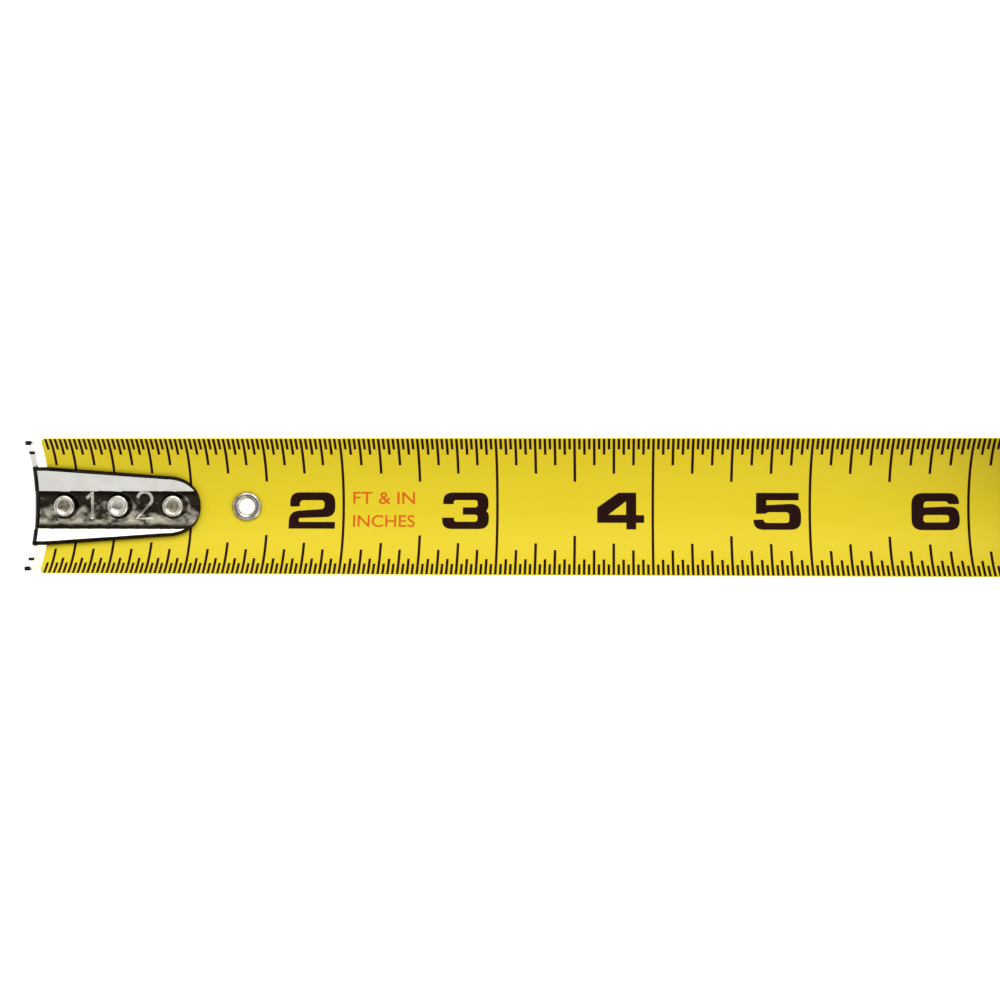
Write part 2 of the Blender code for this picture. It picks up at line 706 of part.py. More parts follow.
def make_mainspring():
    """The power spring: a spiral strip between the post and the drum's barrel."""
    start = POST_RADIUS + GAP + SPRING_THICKNESS
    end = BARREL_INNER_RADIUS - GAP - SPRING_THICKNESS
    half = FLANGE_INNER_Y - SPRING_SIDE_GAP
    steps_per_turn = 24
    count = SPRING_TURNS * steps_per_turn
    bm = bmesh.new()
    verts = []
    for k in range(count + 1):
        radius = start + (end - start) * k / count
        angle = math.tau * k / steps_per_turn
        x, z = AXIS + radius * Vector((math.cos(angle), math.sin(angle)))
        verts.append(bm.verts.new((x, -half, z)))
    edges = [bm.edges.new(pair) for pair in zip(verts, verts[1:])]
    made = bmesh.ops.extrude_edge_only(bm, edges=edges)["geom"]
    moved = [v for v in made if isinstance(v, bmesh.types.BMVert)]
    bmesh.ops.translate(bm, vec=(0, 2 * half, 0), verts=moved)
    spring = add_object("mainspring", mesh_from(bm, "mainspring"), SPRING_STEEL)
    solid = spring.modifiers.new("strip", "SOLIDIFY")
    solid.thickness = SPRING_THICKNESS
    solid.offset = 0


def make_post_and_washers():
    half = INNER_HALF_WIDTH - GAP
    post = cylinder("centre_post", POST_RADIUS, "Y", -half, half, AXIS, HOOK_STEEL)
    slot_half = 0.5 * MM
    cut(
        post,
        box(
            "post_slot",
            (AXIS.x - slot_half, -half - THROUGH, AXIS.y),
            (AXIS.x + slot_half, FLANGE_INNER_Y - THROUGH, AXIS.y + POST_RADIUS + THROUGH),
        ),
    )
    for side, name in ((-1, "left"), (1, "right")):
        near = FLANGE_OUTER_Y + GAP
        profile = [
            (POST_RADIUS + GAP, side * near),
            (WASHER_RADIUS, side * near),
            (WASHER_RADIUS, side * (near + WASHER_THICKNESS)),
            (POST_RADIUS + GAP, side * (near + WASHER_THICKNESS)),
        ]
        turned(f"thrust_washer_{name}", profile, "Y", AXIS, WASHER_PLASTIC, closed=True)


# ---------------------------------------------------------------- case


def screw_places():
    places = []
    for angle, beyond in SCREW_PLACES:
        turn = math.radians(angle)
        places.append(
            AXIS + (FLANGE_RADIUS + beyond) * Vector((math.cos(turn), math.sin(turn)))
        )
    return places


def case_ring(grow, y):
    """The case's outline grown by grow, at y."""
    return [(x, y, z) for x, z in round_corners(offset_corners(CASE_CORNERS, grow))]


def case_solid(name, side, grow, near, material=None):
    """Half of the case's outer form, grown by grow, from y = near to its rounded side."""
    rim = RIM_RADIUS + grow
    far = CASE_HALF_WIDTH + grow
    rings = [case_ring(grow, side * near)]
    for k in range(RIM_STEPS + 1):
        angle = math.pi / 2 * k / RIM_STEPS
        inset = rim * (1 - math.cos(angle))
        rings.append(case_ring(grow - inset, side * (far - rim * (1 - math.sin(angle)))))
    return loft(name, rings, material)


def slope_box(name, s_low, s_high, half_width, out_low, out_high, bevel=0.0, material=None):
    """A box on the sloping wall: s runs down the slope from the crown, out is off its surface."""
    shape = box(
        name, (-s_high, -half_width, out_low), (-s_low, half_width, out_high), material, bevel
    )
    x_axis = Vector((-DOWN_SLOPE.x, 0, -DOWN_SLOPE.y))
    z_axis = Vector((SLOPE_NORMAL.x, 0, SLOPE_NORMAL.y))
    turn = Matrix((x_axis, (0, 1, 0), z_axis)).transposed().to_4x4()
    shape.data.transform(Matrix.Translation((CROWN.x, 0, CROWN.y)) @ turn)
    return shape


def mouth_cutter(name):
    half = CUP_HALF_CHORD + MOUTH_SIDE_ROOM
    low = (-CASE_HALF_LENGTH - THROUGH, -half, MOUTH_LOW)
    high = (-CASE_HALF_LENGTH + WALL + 0.5 * MM, half, BLADE_EDGE_Z + MOUTH_HEADROOM)
    return box(name, low, high)


def lock_slot_cutter(name):
    half = NECK_LENGTH / 2 + 0.4 * MM
    return slope_box(
        name,
        LOCK_S - half - LOCK_TRAVEL,
        LOCK_S + half,
        NECK_WIDTH / 2 + GAP,
        -WALL - THROUGH / 2,
        THROUGH,
    )


def case_hollow(name, side):
    """The space inside one half, clear of the screw bosses and of the collar round the post."""
    hollow = case_solid(name, side, -WALL, -THROUGH)
    boss = SCREW_RADIUS + GAP + BOSS_WALL
    near, far = -side * 2 * THROUGH, side * (CASE_HALF_WIDTH + THROUGH)
    for k, place in enumerate(screw_places()):
        cut(hollow, cylinder(f"{name}_boss_{k + 1}", boss, "Y", near, far, place))
    collar = POST_RADIUS + GAP
    start = side * (FLANGE_OUTER_Y + 2 * GAP + WASHER_THICKNESS)
    profile = [
        (collar, start),
        (collar + POST_COLLAR_WALL, start),
        (collar + POST_COLLAR_WALL, far),
        (collar, far),
    ]
    return cut(hollow, turned(f"{name}_collar", profile, "Y", AXIS, closed=True))


def make_case_half(name, side):
    half = case_solid(name, side, 0, HALVES_GAP / 2, CASE_PLASTIC)
    cut(half, case_hollow(f"{name}_hollow", side))
    for k, place in enumerate(screw_places()):
        cut(half, *screw_hole(f"{name}_hole_{k + 1}", side, place))
    return cut(half, mouth_cutter(f"{name}_mouth"), lock_slot_cutter(f"{name}_lock_slot"))


def screw_hole(name, side, place):
    """The screw's hole: through with a counterbore on the left, blind on the right."""
    bore = SCREW_RADIUS + GAP
    if side > 0:
        return [cylinder(name, bore, "Y", -THROUGH, SCREW_REACH + GAP, place, steps=SMALL_STEPS)]
    face = -CASE_HALF_WIDTH
    head = SCREW_HEAD_RADIUS + GAP
    return [
        cylinder(name, bore, "Y", face - THROUGH, THROUGH, place, steps=SMALL_STEPS),
        cylinder(f"{name}_head", head, "Y", face - THROUGH, face + WALL, place),
    ]


def make_case():
    left = make_case_half("case_left", -1)
    face = -CASE_HALF_WIDTH
    badge_hole = cylinder(
        "badge_hole", BADGE_RADIUS + GAP, "Y", face - THROUGH, face + BADGE_RECESS, AXIS, steps=48
    )
    cut(left, badge_hole)
    right = make_case_half("case_right", 1)
    near, far = INNER_HALF_WIDTH - THROUGH / 2, CASE_HALF_WIDTH + THROUGH
    bore = CLIP_SCREW_RADIUS + GAP
    cut(
        right,
        cylinder("clip_hole", bore, "Y", near, far, clip_screw_place(), steps=SMALL_STEPS),
    )


def make_case_screws():
    """Pan-head screws from the left side, their heads sunk in the counterbores."""
    face = -CASE_HALF_WIDTH + SCREW_HEAD_RECESS
    seat = -CASE_HALF_WIDTH + WALL - GAP
    profile = [
        (0, face),
        (SCREW_CROWN_RADIUS, face),
        (SCREW_HEAD_RADIUS, (face + seat) / 2),
        (SCREW_HEAD_RADIUS, seat),
        (SCREW_RADIUS, seat),
        (SCREW_RADIUS, SCREW_REACH - SCREW_RADIUS),
        (0, SCREW_REACH),
    ]
    for k, place in enumerate(screw_places()):
        name = f"case_screw_{k + 1}"
        screw = turned(name, profile, "Y", place, SCREW_STEEL, SMALL_STEPS)
        low, high = face - THROUGH, face + SCREW_SOCKET_DEPTH
        socket = cylinder(f"{name}_socket", SCREW_SOCKET_RADIUS, "Y", low, high, place, steps=6)
        cut(screw, socket)


def make_mouth_guide():
    """The insert under the blade inside the mouth, cupped like the blade and grooved for rivets."""
    low_x = -CASE_HALF_LENGTH + WALL + GAP / 2
    half = INNER_HALF_WIDTH - GAP - 2 * MM
    guide = box(
        "mouth_guide",
        (low_x, -half, WALL),
        (low_x + GUIDE_LENGTH, half, BLADE_LEVEL + GUIDE_SHOULDER),
        DRUM_PLASTIC,
    )
    under = CUP_RADIUS + BLADE_THICKNESS + GUIDE_GAP
    reach = (low_x - THROUGH, low_x + GUIDE_LENGTH + THROUGH)
    cup = cylinder("guide_cup", under, "X", *reach, (0, CUP_CENTRE_Z), steps=48)
    groove = box(
        "guide_groove",
        (reach[0], -GUIDE_GROOVE_HALF, BLADE_LEVEL - GUIDE_GROOVE_DEPTH),
        (reach[1], GUIDE_GROOVE_HALF, BLADE_LEVEL + THROUGH),
    )
    cut(guide, cup, groove)
    inside = round_corners(offset_corners(CASE_CORNERS, -WALL - GAP))
    room = extruded("guide_room", inside, "Y", -half - THROUGH, half + THROUGH)
    combine(guide, room, "INTERSECT")


def make_hook_bumper():
    """A rubber toe over the case's lower front corner, which the hook closes against."""
    low = (BUMPER_X, -BUMPER_WIDTH / 2, BUMPER_LOW)
    high = (-CASE_HALF_LENGTH + TOE_RADIUS, BUMPER_WIDTH / 2, MOUTH_LOW - GAP)
    bumper = box("hook_bumper", low, high, GRIP_RUBBER, bevel=0.4 * MM)
    outline = round_corners(offset_corners(CASE_CORNERS, GAP))
    reach = CASE_HALF_WIDTH + THROUGH
    cut(bumper, extruded("bumper_seat", outline, "Y", -reach, reach))


def make_badge():
    face = -CASE_HALF_WIDTH
    cylinder(
        "badge_disc",
        BADGE_RADIUS,
        "Y",
        face + BADGE_RECESS - GAP - BADGE_THICKNESS,
        face + BADGE_RECESS - GAP,
        AXIS,
        BADGE_METAL,
        48,
    )


def make_grip(name, side):
    """The rubber skin of one half: over the back and the top, and a rim round the side."""
    grow = GAP + GRIP_THICKNESS
    grip = case_solid(name, side, grow, HALVES_GAP / 2, GRIP_RUBBER)
    cut(grip, case_solid(f"{name}_inside", side, GAP, -THROUGH))
    window = round_corners(offset_corners(CASE_CORNERS, -GRIP_RING))
    far = side * (CASE_HALF_WIDTH + THROUGH)
    near = side * (INNER_HALF_WIDTH - THROUGH / 4)
    cut(grip, extruded(f"{name}_window", window, "Y", near, far))
    reach = 2 * CASE_HEIGHT
    region = [
        Vector((AXIS.x + 15 * MM, GRIP_BOTTOM)),
        Vector((reach, GRIP_BOTTOM)),
        Vector((reach, reach)),
        Vector((CROWN.x - 1 * MM, reach)),
        CROWN + Vector((4 * MM, 0)),
        CROWN + Vector((10 * MM, -GRIP_RING - 4 * MM)),
    ]
    keep = extruded(f"{name}_region", region, "Y", -side * THROUGH, far)
    combine(grip, keep, "INTERSECT")
    if side < 0:
        low, high = far, side * INNER_HALF_WIDTH
        hole = cylinder(f"{name}_hole", GRIP_HOLE_RADIUS, "Y", low, high, screw_places()[1])
        cut(grip, hole)


# ---------------------------------------------------------------- lock


def make_lock_slider():
    """The thumb pad with its neck through the case's slot and a flange inside."""
    half_pad = PAD_LENGTH / 2
    slider = slope_box(
        "lock_slider",
        LOCK_S - half_pad,
        LOCK_S + half_pad,
        PAD_WIDTH / 2,
        GAP,
        GAP + PAD_HEIGHT,
        bevel=1.2 * MM,
        material=LOCK_PLASTIC,
    )
    flange_top = -WALL - SLIDE_GAP
    flange_half = INNER_FLANGE_LENGTH / 2
    neck_half = NECK_LENGTH / 2
    join(
        slider,
        slope_box(
            "slider_neck",
            LOCK_S - neck_half,
            LOCK_S + neck_half,
            NECK_WIDTH / 2,
            flange_top - INNER_FLANGE_THICKNESS / 2,
            GAP + PAD_HEIGHT / 2,
        ),
        slope_box(
            "slider_flange",
            LOCK_S - flange_half,
            LOCK_S + flange_half,
            INNER_FLANGE_WIDTH / 2,
            flange_top - INNER_FLANGE_THICKNESS,
            flange_top,
        ),
    )
    pitch = PAD_LENGTH / (PAD_RIDGES + 2)
    for k in range(PAD_RIDGES):
        s = LOCK_S + (k - (PAD_RIDGES - 1) / 2) * pitch
        ridge = slope_box(
            f"slider_ridge_{k + 1}",
            s - 0.6 * MM,
            s + 0.6 * MM,
            PAD_WIDTH / 2 - 2 * MM,
            PAD_HEIGHT / 2,
            GAP + PAD_HEIGHT + 0.8 * MM,
        )
        join(slider, ridge)


def strap_path():
    """The lock's inner strap: down along the slope, then along the front wall to the shoe."""
    depth = WALL + SLIDE_GAP + INNER_FLANGE_THICKNESS + GAP + STRAP_THICKNESS / 2
    leg_x = -CASE_HALF_LENGTH + WALL + STRAP_WALL_GAP + STRAP_THICKNESS / 2
    start = CROWN + (LOCK_S - INNER_FLANGE_LENGTH / 2) * DOWN_SLOPE - depth * SLOPE_NORMAL
    knee = start + (start.x - leg_x) / math.cos(SLOPE_ANGLE) * DOWN_SLOPE
    return [start, knee, Vector((leg_x, BLADE_LEVEL + SHOE_TOP + GAP))]


def make_lock_strap():
    outline = strap_outline(strap_path(), STRAP_THICKNESS)
    half = STRAP_WIDTH / 2
    extruded("lock_strap", outline, "Y", -half, half, DRUM_PLASTIC)


def make_brake_shoe():
    """The arched shoe: two feet that bear on the blade's flanks and straddle the hook's tongue."""
    leg_x = strap_path()[-1].x
    low_x = leg_x - STRAP_THICKNESS / 2
    top = BLADE_LEVEL + SHOE_TOP
    shoe = box(
        "brake_shoe",
        (low_x, -SHOE_HALF_WIDTH, BLADE_LEVEL),
        (low_x + SHOE_LENGTH, SHOE_HALF_WIDTH, top),
        GRIP_RUBBER,
    )
    arch = box(
        "shoe_arch",
        (low_x - THROUGH, -SHOE_FOOT_INNER, BLADE_LEVEL - THROUGH),
        (low_x + SHOE_LENGTH + THROUGH, SHOE_FOOT_INNER, BLADE_LEVEL + SHOE_ARCH),
    )
    cut(shoe, arch)
    inside = cylinder(
        "shoe_cup",
        CUP_RADIUS - SHOE_GAP,
        "X",
        low_x - THROUGH,
        low_x + SHOE_LENGTH + THROUGH,
        (0, CUP_CENTRE_Z),
        steps=48,
    )
    combine(shoe, inside, "INTERSECT")


def make_detent_spring():
    """A leaf spring under the sloping wall, beside the slider's flange, with two bumps."""
    thickness = 0.4 * MM
    near = INNER_FLANGE_WIDTH / 2 + 0.7 * MM
    depth = WALL + GAP + thickness / 2
    steps = 16
    length = LOCK_TRAVEL + INNER_FLANGE_LENGTH
    path = []
    for k in range(steps + 1):
        share = k / steps
        s = LOCK_S - LOCK_TRAVEL - INNER_FLANGE_LENGTH / 2 + length * share
        bump = 0.5 * MM * (1 - math.cos(2 * math.tau * share)) / 2
        path.append(CROWN + s * DOWN_SLOPE - (depth + bump) * SLOPE_NORMAL)
    outline = strap_outline(path, thickness)
    extruded("lock_detent_spring", outline, "Y", near, near + 2 * MM, SPRING_STEEL)


# ---------------------------------------------------------------- belt clip


def clip_screw_place():
    return Vector((CLIP_X, CLIP_TOP - CLIP_SCREW_DROP))


def clip_centre_line():
    """(mount's path, arm's path) in the YZ plane, parted at the outer end of the bend."""
    mount_y = CASE_HALF_WIDTH + GAP + CLIP_THICKNESS / 2
    arm_y = mount_y + 2 * CLIP_BEND_RADIUS
    bend = arc((mount_y + CLIP_BEND_RADIUS, CLIP_TOP), CLIP_BEND_RADIUS, 180, 0, 8)
    mount = [Vector((mount_y, CLIP_TOP - CLIP_MOUNT_LENGTH))] + bend
    arm = [
        Vector((arm_y, CLIP_TOP - GAP)),
        Vector((arm_y, CLIP_TOP - CLIP_ARM_STRAIGHT)),
        Vector((arm_y - CLIP_LIP / 3, CLIP_TOP - CLIP_ARM_PINCH)),
        Vector((arm_y + CLIP_LIP, CLIP_TOP - CLIP_ARM_LENGTH)),
    ]
    return mount, arm


def make_belt_clip():
    low, high = CLIP_X - CLIP_WIDTH / 2, CLIP_X + CLIP_WIDTH / 2
    mount_path, arm_path = clip_centre_line()
    mount = extruded(
        "belt_clip_mount", strap_outline(mount_path, CLIP_THICKNESS), "X", low, high, CLIP_STEEL
    )
    near, far = CASE_HALF_WIDTH - THROUGH, CASE_HALF_WIDTH + 3 * CLIP_THICKNESS
    hole = cylinder(
        "clip_mount_hole",
        CLIP_SCREW_RADIUS + GAP,
        "Y",
        near,
        far,
        clip_screw_place(),
        steps=SMALL_STEPS,
    )
    cut(mount, hole)
    arm = extruded(
        "belt_clip_arm", strap_outline(arm_path, CLIP_THICKNESS), "X", low, high, CLIP_STEEL
    )
    shaped = rectangle((low, arm_path[-1].y), (high, CLIP_TOP + 2 * CLIP_CORNER), CLIP_CORNER)
    reach = (CASE_HALF_WIDTH, CASE_HALF_WIDTH + 4 * CLIP_BEND_RADIUS)
    combine(arm, extruded("clip_arm_shape", shaped, "Y", *reach), "INTERSECT")


def make_clip_screw():
    seat = CASE_HALF_WIDTH + GAP + CLIP_THICKNESS + GAP
    top = seat + CLIP_SCREW_HEAD_HEIGHT
    end = INNER_HALF_WIDTH + GAP
    profile = [
        (0, top),
        (CLIP_SCREW_CROWN_RADIUS, top),
        (CLIP_SCREW_HEAD_RADIUS, seat + 0.3 * MM),
        (CLIP_SCREW_HEAD_RADIUS, seat),
        (CLIP_SCREW_RADIUS, seat),
        (CLIP_SCREW_RADIUS, end),
        (0, end),
    ]
    screw = turned("clip_screw", profile, "Y", clip_screw_place(), SCREW_STEEL, SMALL_STEPS)
    low, high = top - SCREW_SOCKET_DEPTH, top + THROUGH
    socket = cylinder(
        "clip_screw_socket", SCREW_SOCKET_RADIUS, "Y", low, high, clip_screw_place(), steps=6
    )
    cut(screw, socket)


# ---------------------------------------------------------------- the whole tool

make_case()
make_case_screws()
make_mouth_guide()
make_hook_bumper()
make_badge()
make_grip("grip_left", -1)
make_grip("grip_right", 1)
make_post_and_washers()
make_drum()
make_coil()
make_mainspring()
make_blade_tip()
make_blade_span()
make_end_hook()
make_rivets()
make_eyelet()
make_lock_slider()
make_lock_strap()
make_brake_shoe()
make_detent_spring()
make_belt_clip()
make_clip_screw()
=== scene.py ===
"""The looks of a pocket tape measure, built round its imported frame.

Metres, +Z up. The blade leaves the case towards -X with its printed, cupped side up.
What lies on the blade is drawn flat, in millimetres: the distance from the zero of the
scale, the distance across the blade's section, and the height above the printed face.
"""

import math

import bmesh
import bpy
from mathutils import Matrix, Vector


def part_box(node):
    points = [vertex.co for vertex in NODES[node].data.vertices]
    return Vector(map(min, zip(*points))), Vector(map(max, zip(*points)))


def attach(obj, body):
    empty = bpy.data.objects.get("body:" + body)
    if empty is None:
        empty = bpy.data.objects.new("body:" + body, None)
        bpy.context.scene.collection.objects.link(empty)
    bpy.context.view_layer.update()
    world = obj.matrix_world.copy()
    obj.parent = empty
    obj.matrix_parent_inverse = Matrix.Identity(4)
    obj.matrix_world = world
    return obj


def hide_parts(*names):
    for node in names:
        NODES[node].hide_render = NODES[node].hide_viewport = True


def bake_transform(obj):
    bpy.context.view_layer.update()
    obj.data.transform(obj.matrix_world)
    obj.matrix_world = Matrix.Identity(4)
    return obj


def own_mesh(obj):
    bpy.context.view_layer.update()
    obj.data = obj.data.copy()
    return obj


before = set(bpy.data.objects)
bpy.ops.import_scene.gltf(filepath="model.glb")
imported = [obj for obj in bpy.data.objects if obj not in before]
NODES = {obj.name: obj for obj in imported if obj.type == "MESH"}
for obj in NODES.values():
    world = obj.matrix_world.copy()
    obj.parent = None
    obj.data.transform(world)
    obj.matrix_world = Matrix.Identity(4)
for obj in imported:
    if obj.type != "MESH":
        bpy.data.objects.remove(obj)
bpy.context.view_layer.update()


def middle_of(node):
    low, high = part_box(node)
    return (low + high) / 2


MM = 0.001
INCH = 25.4  # the flat drawings are in millimetres

# Blade section, as in the frame
CUP_RADIUS = 13.5 * MM
BLADE_THICKNESS = 0.2 * MM
BLADE_HALF = INCH / 2
HOOK_OUTER = -0.6  # the plain plate's outside, from the scale's zero
ZERO_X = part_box("end_hook")[0].x - HOOK_OUTER * MM
BLADE_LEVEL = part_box("blade_tip")[0].z + BLADE_THICKNESS
CUP_CENTRE_Z = BLADE_LEVEL + CUP_RADIUS
TIP_START = (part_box("blade_tip")[0].x - ZERO_X) / MM
TIP_END = (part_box("blade_tip")[1].x - ZERO_X) / MM
BEND_STEP = 0.4  # a drawing is cut into strips this wide, to follow the cup

# Print
TICKS = (  # inches between marks, how far in from the +Y edge and from the -Y edge, width
    (1 / 2, 8.5, 7.9, 0.42),
    (1 / 4, 7.1, 6.55, 0.42),
    (1 / 8, 5.6, 5.3, 0.42),
    (1 / 16, 3.55, 3.5, 0.42),
    (1 / 32, 2.45, 2.45, 0.41),
)
INCH_LINE_WIDTH = 0.41
PRINT_END = 6.875  # inches, inside the mouth
INK_TOP, INK_BOTTOM = 0.02, -0.03
FIGURE_HEIGHT = 6.05
FIGURE_WIDTH = 7.7
FIGURE_TO_LINE = 1.4
FIGURE_MIDDLE = -0.65
LEGEND_START, LEGEND_END = 52.4, 62.6
LEGEND_ROWS = (("FT & IN", 1.45), ("INCHES", -2.36))
LEGEND_HEIGHT = 2.0

# Blade tip, rivets and eyelet
TIP_CORNER = 1.2
SHARP = 0.01
RIVET_DISTANCES = (4.4, 13.4, 22.6)
RIVET_HOLE = 1.1
RIVET_RADIUS = 1.75
RIVET_RIM = 0.32
EYELET_DISTANCE = 34.7
EYELET_HOLE = 2.1
EYELET_BORE = 1.3
MEET_ANGLE = math.radians(12)  # where the blade meets the coil, from straight below its axis

# Hook
# The shaded edge slot's near-black colour is painted shade on the hook's edges, sides, underside,
# bend and ear tops.
PLATE, SHADED_EDGE, FRONT, CHANNEL = range(4)  # its material slots
HOOK_FACE = -0.9  # the formed bend's outside, past the plain plate's
HOOK_THICKNESS = 1.0
EAR_TRIM = 0.7
# The ears' dark places take the shaded edge colour: painted shade.
EAR_DOTS = ((0.83, 0.86), (0.965, 2))  # dark places of the ears' tops, as shares of its half width
TONGUE_TOP = 1.1  # above the print
TONGUE_UNDER = 0.3
TONGUE_LENGTH = 27.0
TONGUE_ROOT_HALF = 6.9
TONGUE_TAPER_START = 1.5
TONGUE_END_HALF = 5.25
TONGUE_NOSE = 5.7
TONGUE_STEP = 0.16
TONGUE_COLUMNS = 72
BEND_RADIUS = 1.0
EDGE_WIDTH = 0.3
EDGE_DROP = 0.3
CHANNEL_HALF = 3.5
CHANNEL_MIDDLE = -0.7
CHANNEL_DEPTH = 0.3
CHANNEL_SIDE = 0.35
STAMPED_RING = 2.4
RING_HEIGHT = 0.2
RING_WIDTH = 0.22
DIGIT_STROKE = 0.5
# Colours of the hook channel's patches: the near-black one stands in for reflected dark
# surroundings (painted reflection), the other is the plating's own tone.
DARK_REFLECTION_PLATE = (0.035, 0.03, 0.022)
WORN_PLATE = (0.52, 0.48, 0.39)

# Case
AXIS = middle_of("drum").xz
FLANGE_RADIUS = (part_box("drum")[1].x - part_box("drum")[0].x) / 2
CASE_HALF_WIDTH = -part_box("case_left")[0].y
WALL = 2.2 * MM
HALVES_GAP = 0.3 * MM
RIM_RADIUS = 3.5 * MM
LOCK_ROOM = 5.4 * MM
LOCK_FROM_BROW = 14.7 * MM
SLOPE_ANGLE = math.radians(53.7)
CORNER_RADII = (5, 12, 24, 16, 10)  # mm: front foot, back foot, back top, crown, brow
OUTLINE_STEP = 0.7 * MM
CASE_CHAMFER = 0.25 * MM
BEYOND = 5 * MM  # how far a cutter goes past what it cuts
MOUTH_FLOOR = 5.5 * MM
MOUTH_SIDE = 2.2 * MM
MOUTH_TOP = 2 * MM

# Lock, in millimetres: up and down the slope from its middle, half width, low and high
LOCK_TRAVEL = 9
LOCK_SLOT = (LOCK_TRAVEL + 4.4, 4.4, 4.5, -5, 5)
LOCK_PAD = (10, 10, 9, 0.3, 3.9, 1.6)  # the last number is an edge's radius
LOCK_NECK = (4, 4, 4.2, -3.5, 2)
LOCK_PLATE = (14, 6, 6.5, -4.2, -2.7, 0.3)
LOCK_RIB = (0.7, 0.7, 7, 2.6, 5.0, 0.5)
LOCK_RIBS, LOCK_RIB_PITCH = 4, 3.33

# Grips, fittings and clip
GRIP_THICKNESS = 1.6 * MM
GRIP_GROOVE = 0.55 * MM
GRIP_CHAMFER = 0.2 * MM
GRIP_SEAT = 0.3 * MM
GRIP_RIM = 9 * MM
GRIP_FLOOR = 13 * MM
PAST_SIDE = 30 * MM  # outside both sides of the case
FAR_OFF = 0.2  # outside the case's back and top
RIB_PITCH = 3.2 * MM
SCREW_RADIUS = 2.5 * MM
SCREW_RECESS = 2.8 * MM
CLIP_SCREW_RADIUS = 3.6 * MM
BADGE_SINK = 0.8 * MM
CLIP_THICKNESS = 1.2 * MM
CLIP_TOP = 60 * MM
CLIP_BEND = 3.1 * MM
CLIP_STRAIGHT = 30 * MM
CLIP_FOOT = 12 * MM
CLIP_HALF = 10 * MM
CLIP_CORNER = 3 * MM
CLIP_EDGE = 0.25 * MM


# ---- mesh helpers


def linked(name, data):
    """A new object of the scene with that data."""
    obj = bpy.data.objects.new(name, data)
    bpy.context.scene.collection.objects.link(obj)
    return obj


def mesh_of(bm, name="part"):
    """A mesh of the bmesh, its faces turned outwards; the bmesh is freed."""
    bm.normal_update()
    bmesh.ops.recalc_face_normals(bm, faces=bm.faces)
    mesh = bpy.data.meshes.new(name)
    bm.to_mesh(mesh)
    bm.free()
    return mesh


def add_object(name, bm, *materials, smooth=40):
    """The bmesh as an object, smooth where its faces meet at less than that many degrees."""
    mesh = mesh_of(bm, name)
    for material in materials:
        mesh.materials.append(material)
    mesh.shade_smooth()
    mesh.set_sharp_from_angle(angle=math.radians(smooth))
    return linked(name, mesh)


def bmesh_of(obj):
    """The object's evaluated mesh as a bmesh; the object is removed."""
    graph = bpy.context.evaluated_depsgraph_get()
    mesh = bpy.data.meshes.new_from_object(obj.evaluated_get(graph))
    bm = bmesh.new()
    bm.from_mesh(mesh)
    bm.transform(obj.matrix_world)
    bpy.data.objects.remove(obj)
    bpy.data.meshes.remove(mesh)
    return bm


def merged(*parts):
    """One bmesh holding the shapes of all the others, which are freed."""
    whole = bmesh.new()
    for part in parts:
        mesh = mesh_of(part)
        whole.from_mesh(mesh)
        bpy.data.meshes.remove(mesh)
    return whole


def rounded(corners, steps=6):
    """A closed outline through (x, y, reach) corners, rounded from that far on each side."""
    points = []
    for i, (x, y, reach) in enumerate(corners):
        here = Vector((x, y))
        before = (Vector(corners[i - 1][:2]) - here).normalized()
        after = (Vector(corners[(i + 1) % len(corners)][:2]) - here).normalized()
        start, end = here + before * reach, here + after * reach
        for k in range(steps + 1):
            t = k / steps
            points.append(start * (1 - t) ** 2 + here * 2 * t * (1 - t) + end * t**2)
    return points


def arc(x, y, across, up, start, end, steps):
    """Points of an ellipse round (x, y), from start to end in degrees."""
    turns = (math.radians(start + (end - start) * k / steps) for k in range(steps + 1))
    return [Vector((x + across * math.cos(turn), y + up * math.sin(turn))) for turn in turns]


def circle(x, y, radius):
    return arc(x, y, radius, radius, 0, 360, 32)[:-1]


def flat_solid(outlines, low, high):
    """Closed outlines, inner ones as holes, extruded from low to high."""
    curve = bpy.data.curves.new("flat", "CURVE")
    curve.dimensions = "2D"
    curve.fill_mode = "BOTH"
    curve.extrude = (high - low) / 2
    for outline in outlines:
        spline = curve.splines.new("POLY")
        spline.points.add(len(outline) - 1)
        for target, point in zip(spline.points, outline):
            target.co = (point[0], point[1], 0, 1)
        spline.use_cyclic_u = True
    bm = bmesh_of(linked("flat", curve))
    bmesh.ops.translate(bm, vec=(0, 0, (high + low) / 2), verts=bm.verts)
    bmesh.ops.remove_doubles(bm, verts=bm.verts, dist=1e-4)
    return bm


def flat_box(low, high):
    bm = bmesh.new()
    bmesh.ops.create_cube(bm, size=1)
    size = Vector(high) - Vector(low)
    bmesh.ops.scale(bm, vec=size, verts=bm.verts)
    bmesh.ops.translate(bm, vec=(Vector(high) + Vector(low)) / 2, verts=bm.verts)
    return bm


def on_cup(distance, across, height):
    """The place in the frame of a point drawn flat on the blade."""
    angle = across * MM / CUP_RADIUS
    reach = CUP_RADIUS - height * MM
    x = ZERO_X + distance * MM
    return Vector((x, reach * math.sin(angle), CUP_CENTRE_Z - reach * math.cos(angle)))


def bend_on_cup(bm, step=BEND_STEP):
    """Cuts a flat drawing into strips of that width and bends it onto the blade."""
    count = math.ceil(BLADE_HALF / step)
    for k in range(-count, count + 1):
        bmesh.ops.bisect_plane(
            bm,
            geom=bm.verts[:] + bm.edges[:] + bm.faces[:],
            plane_co=(0, k * step, 0),
            plane_no=(0, 1, 0),
            dist=1e-5,
        )
    for vert in bm.verts:
        vert.co = on_cup(*vert.co)
    return bm


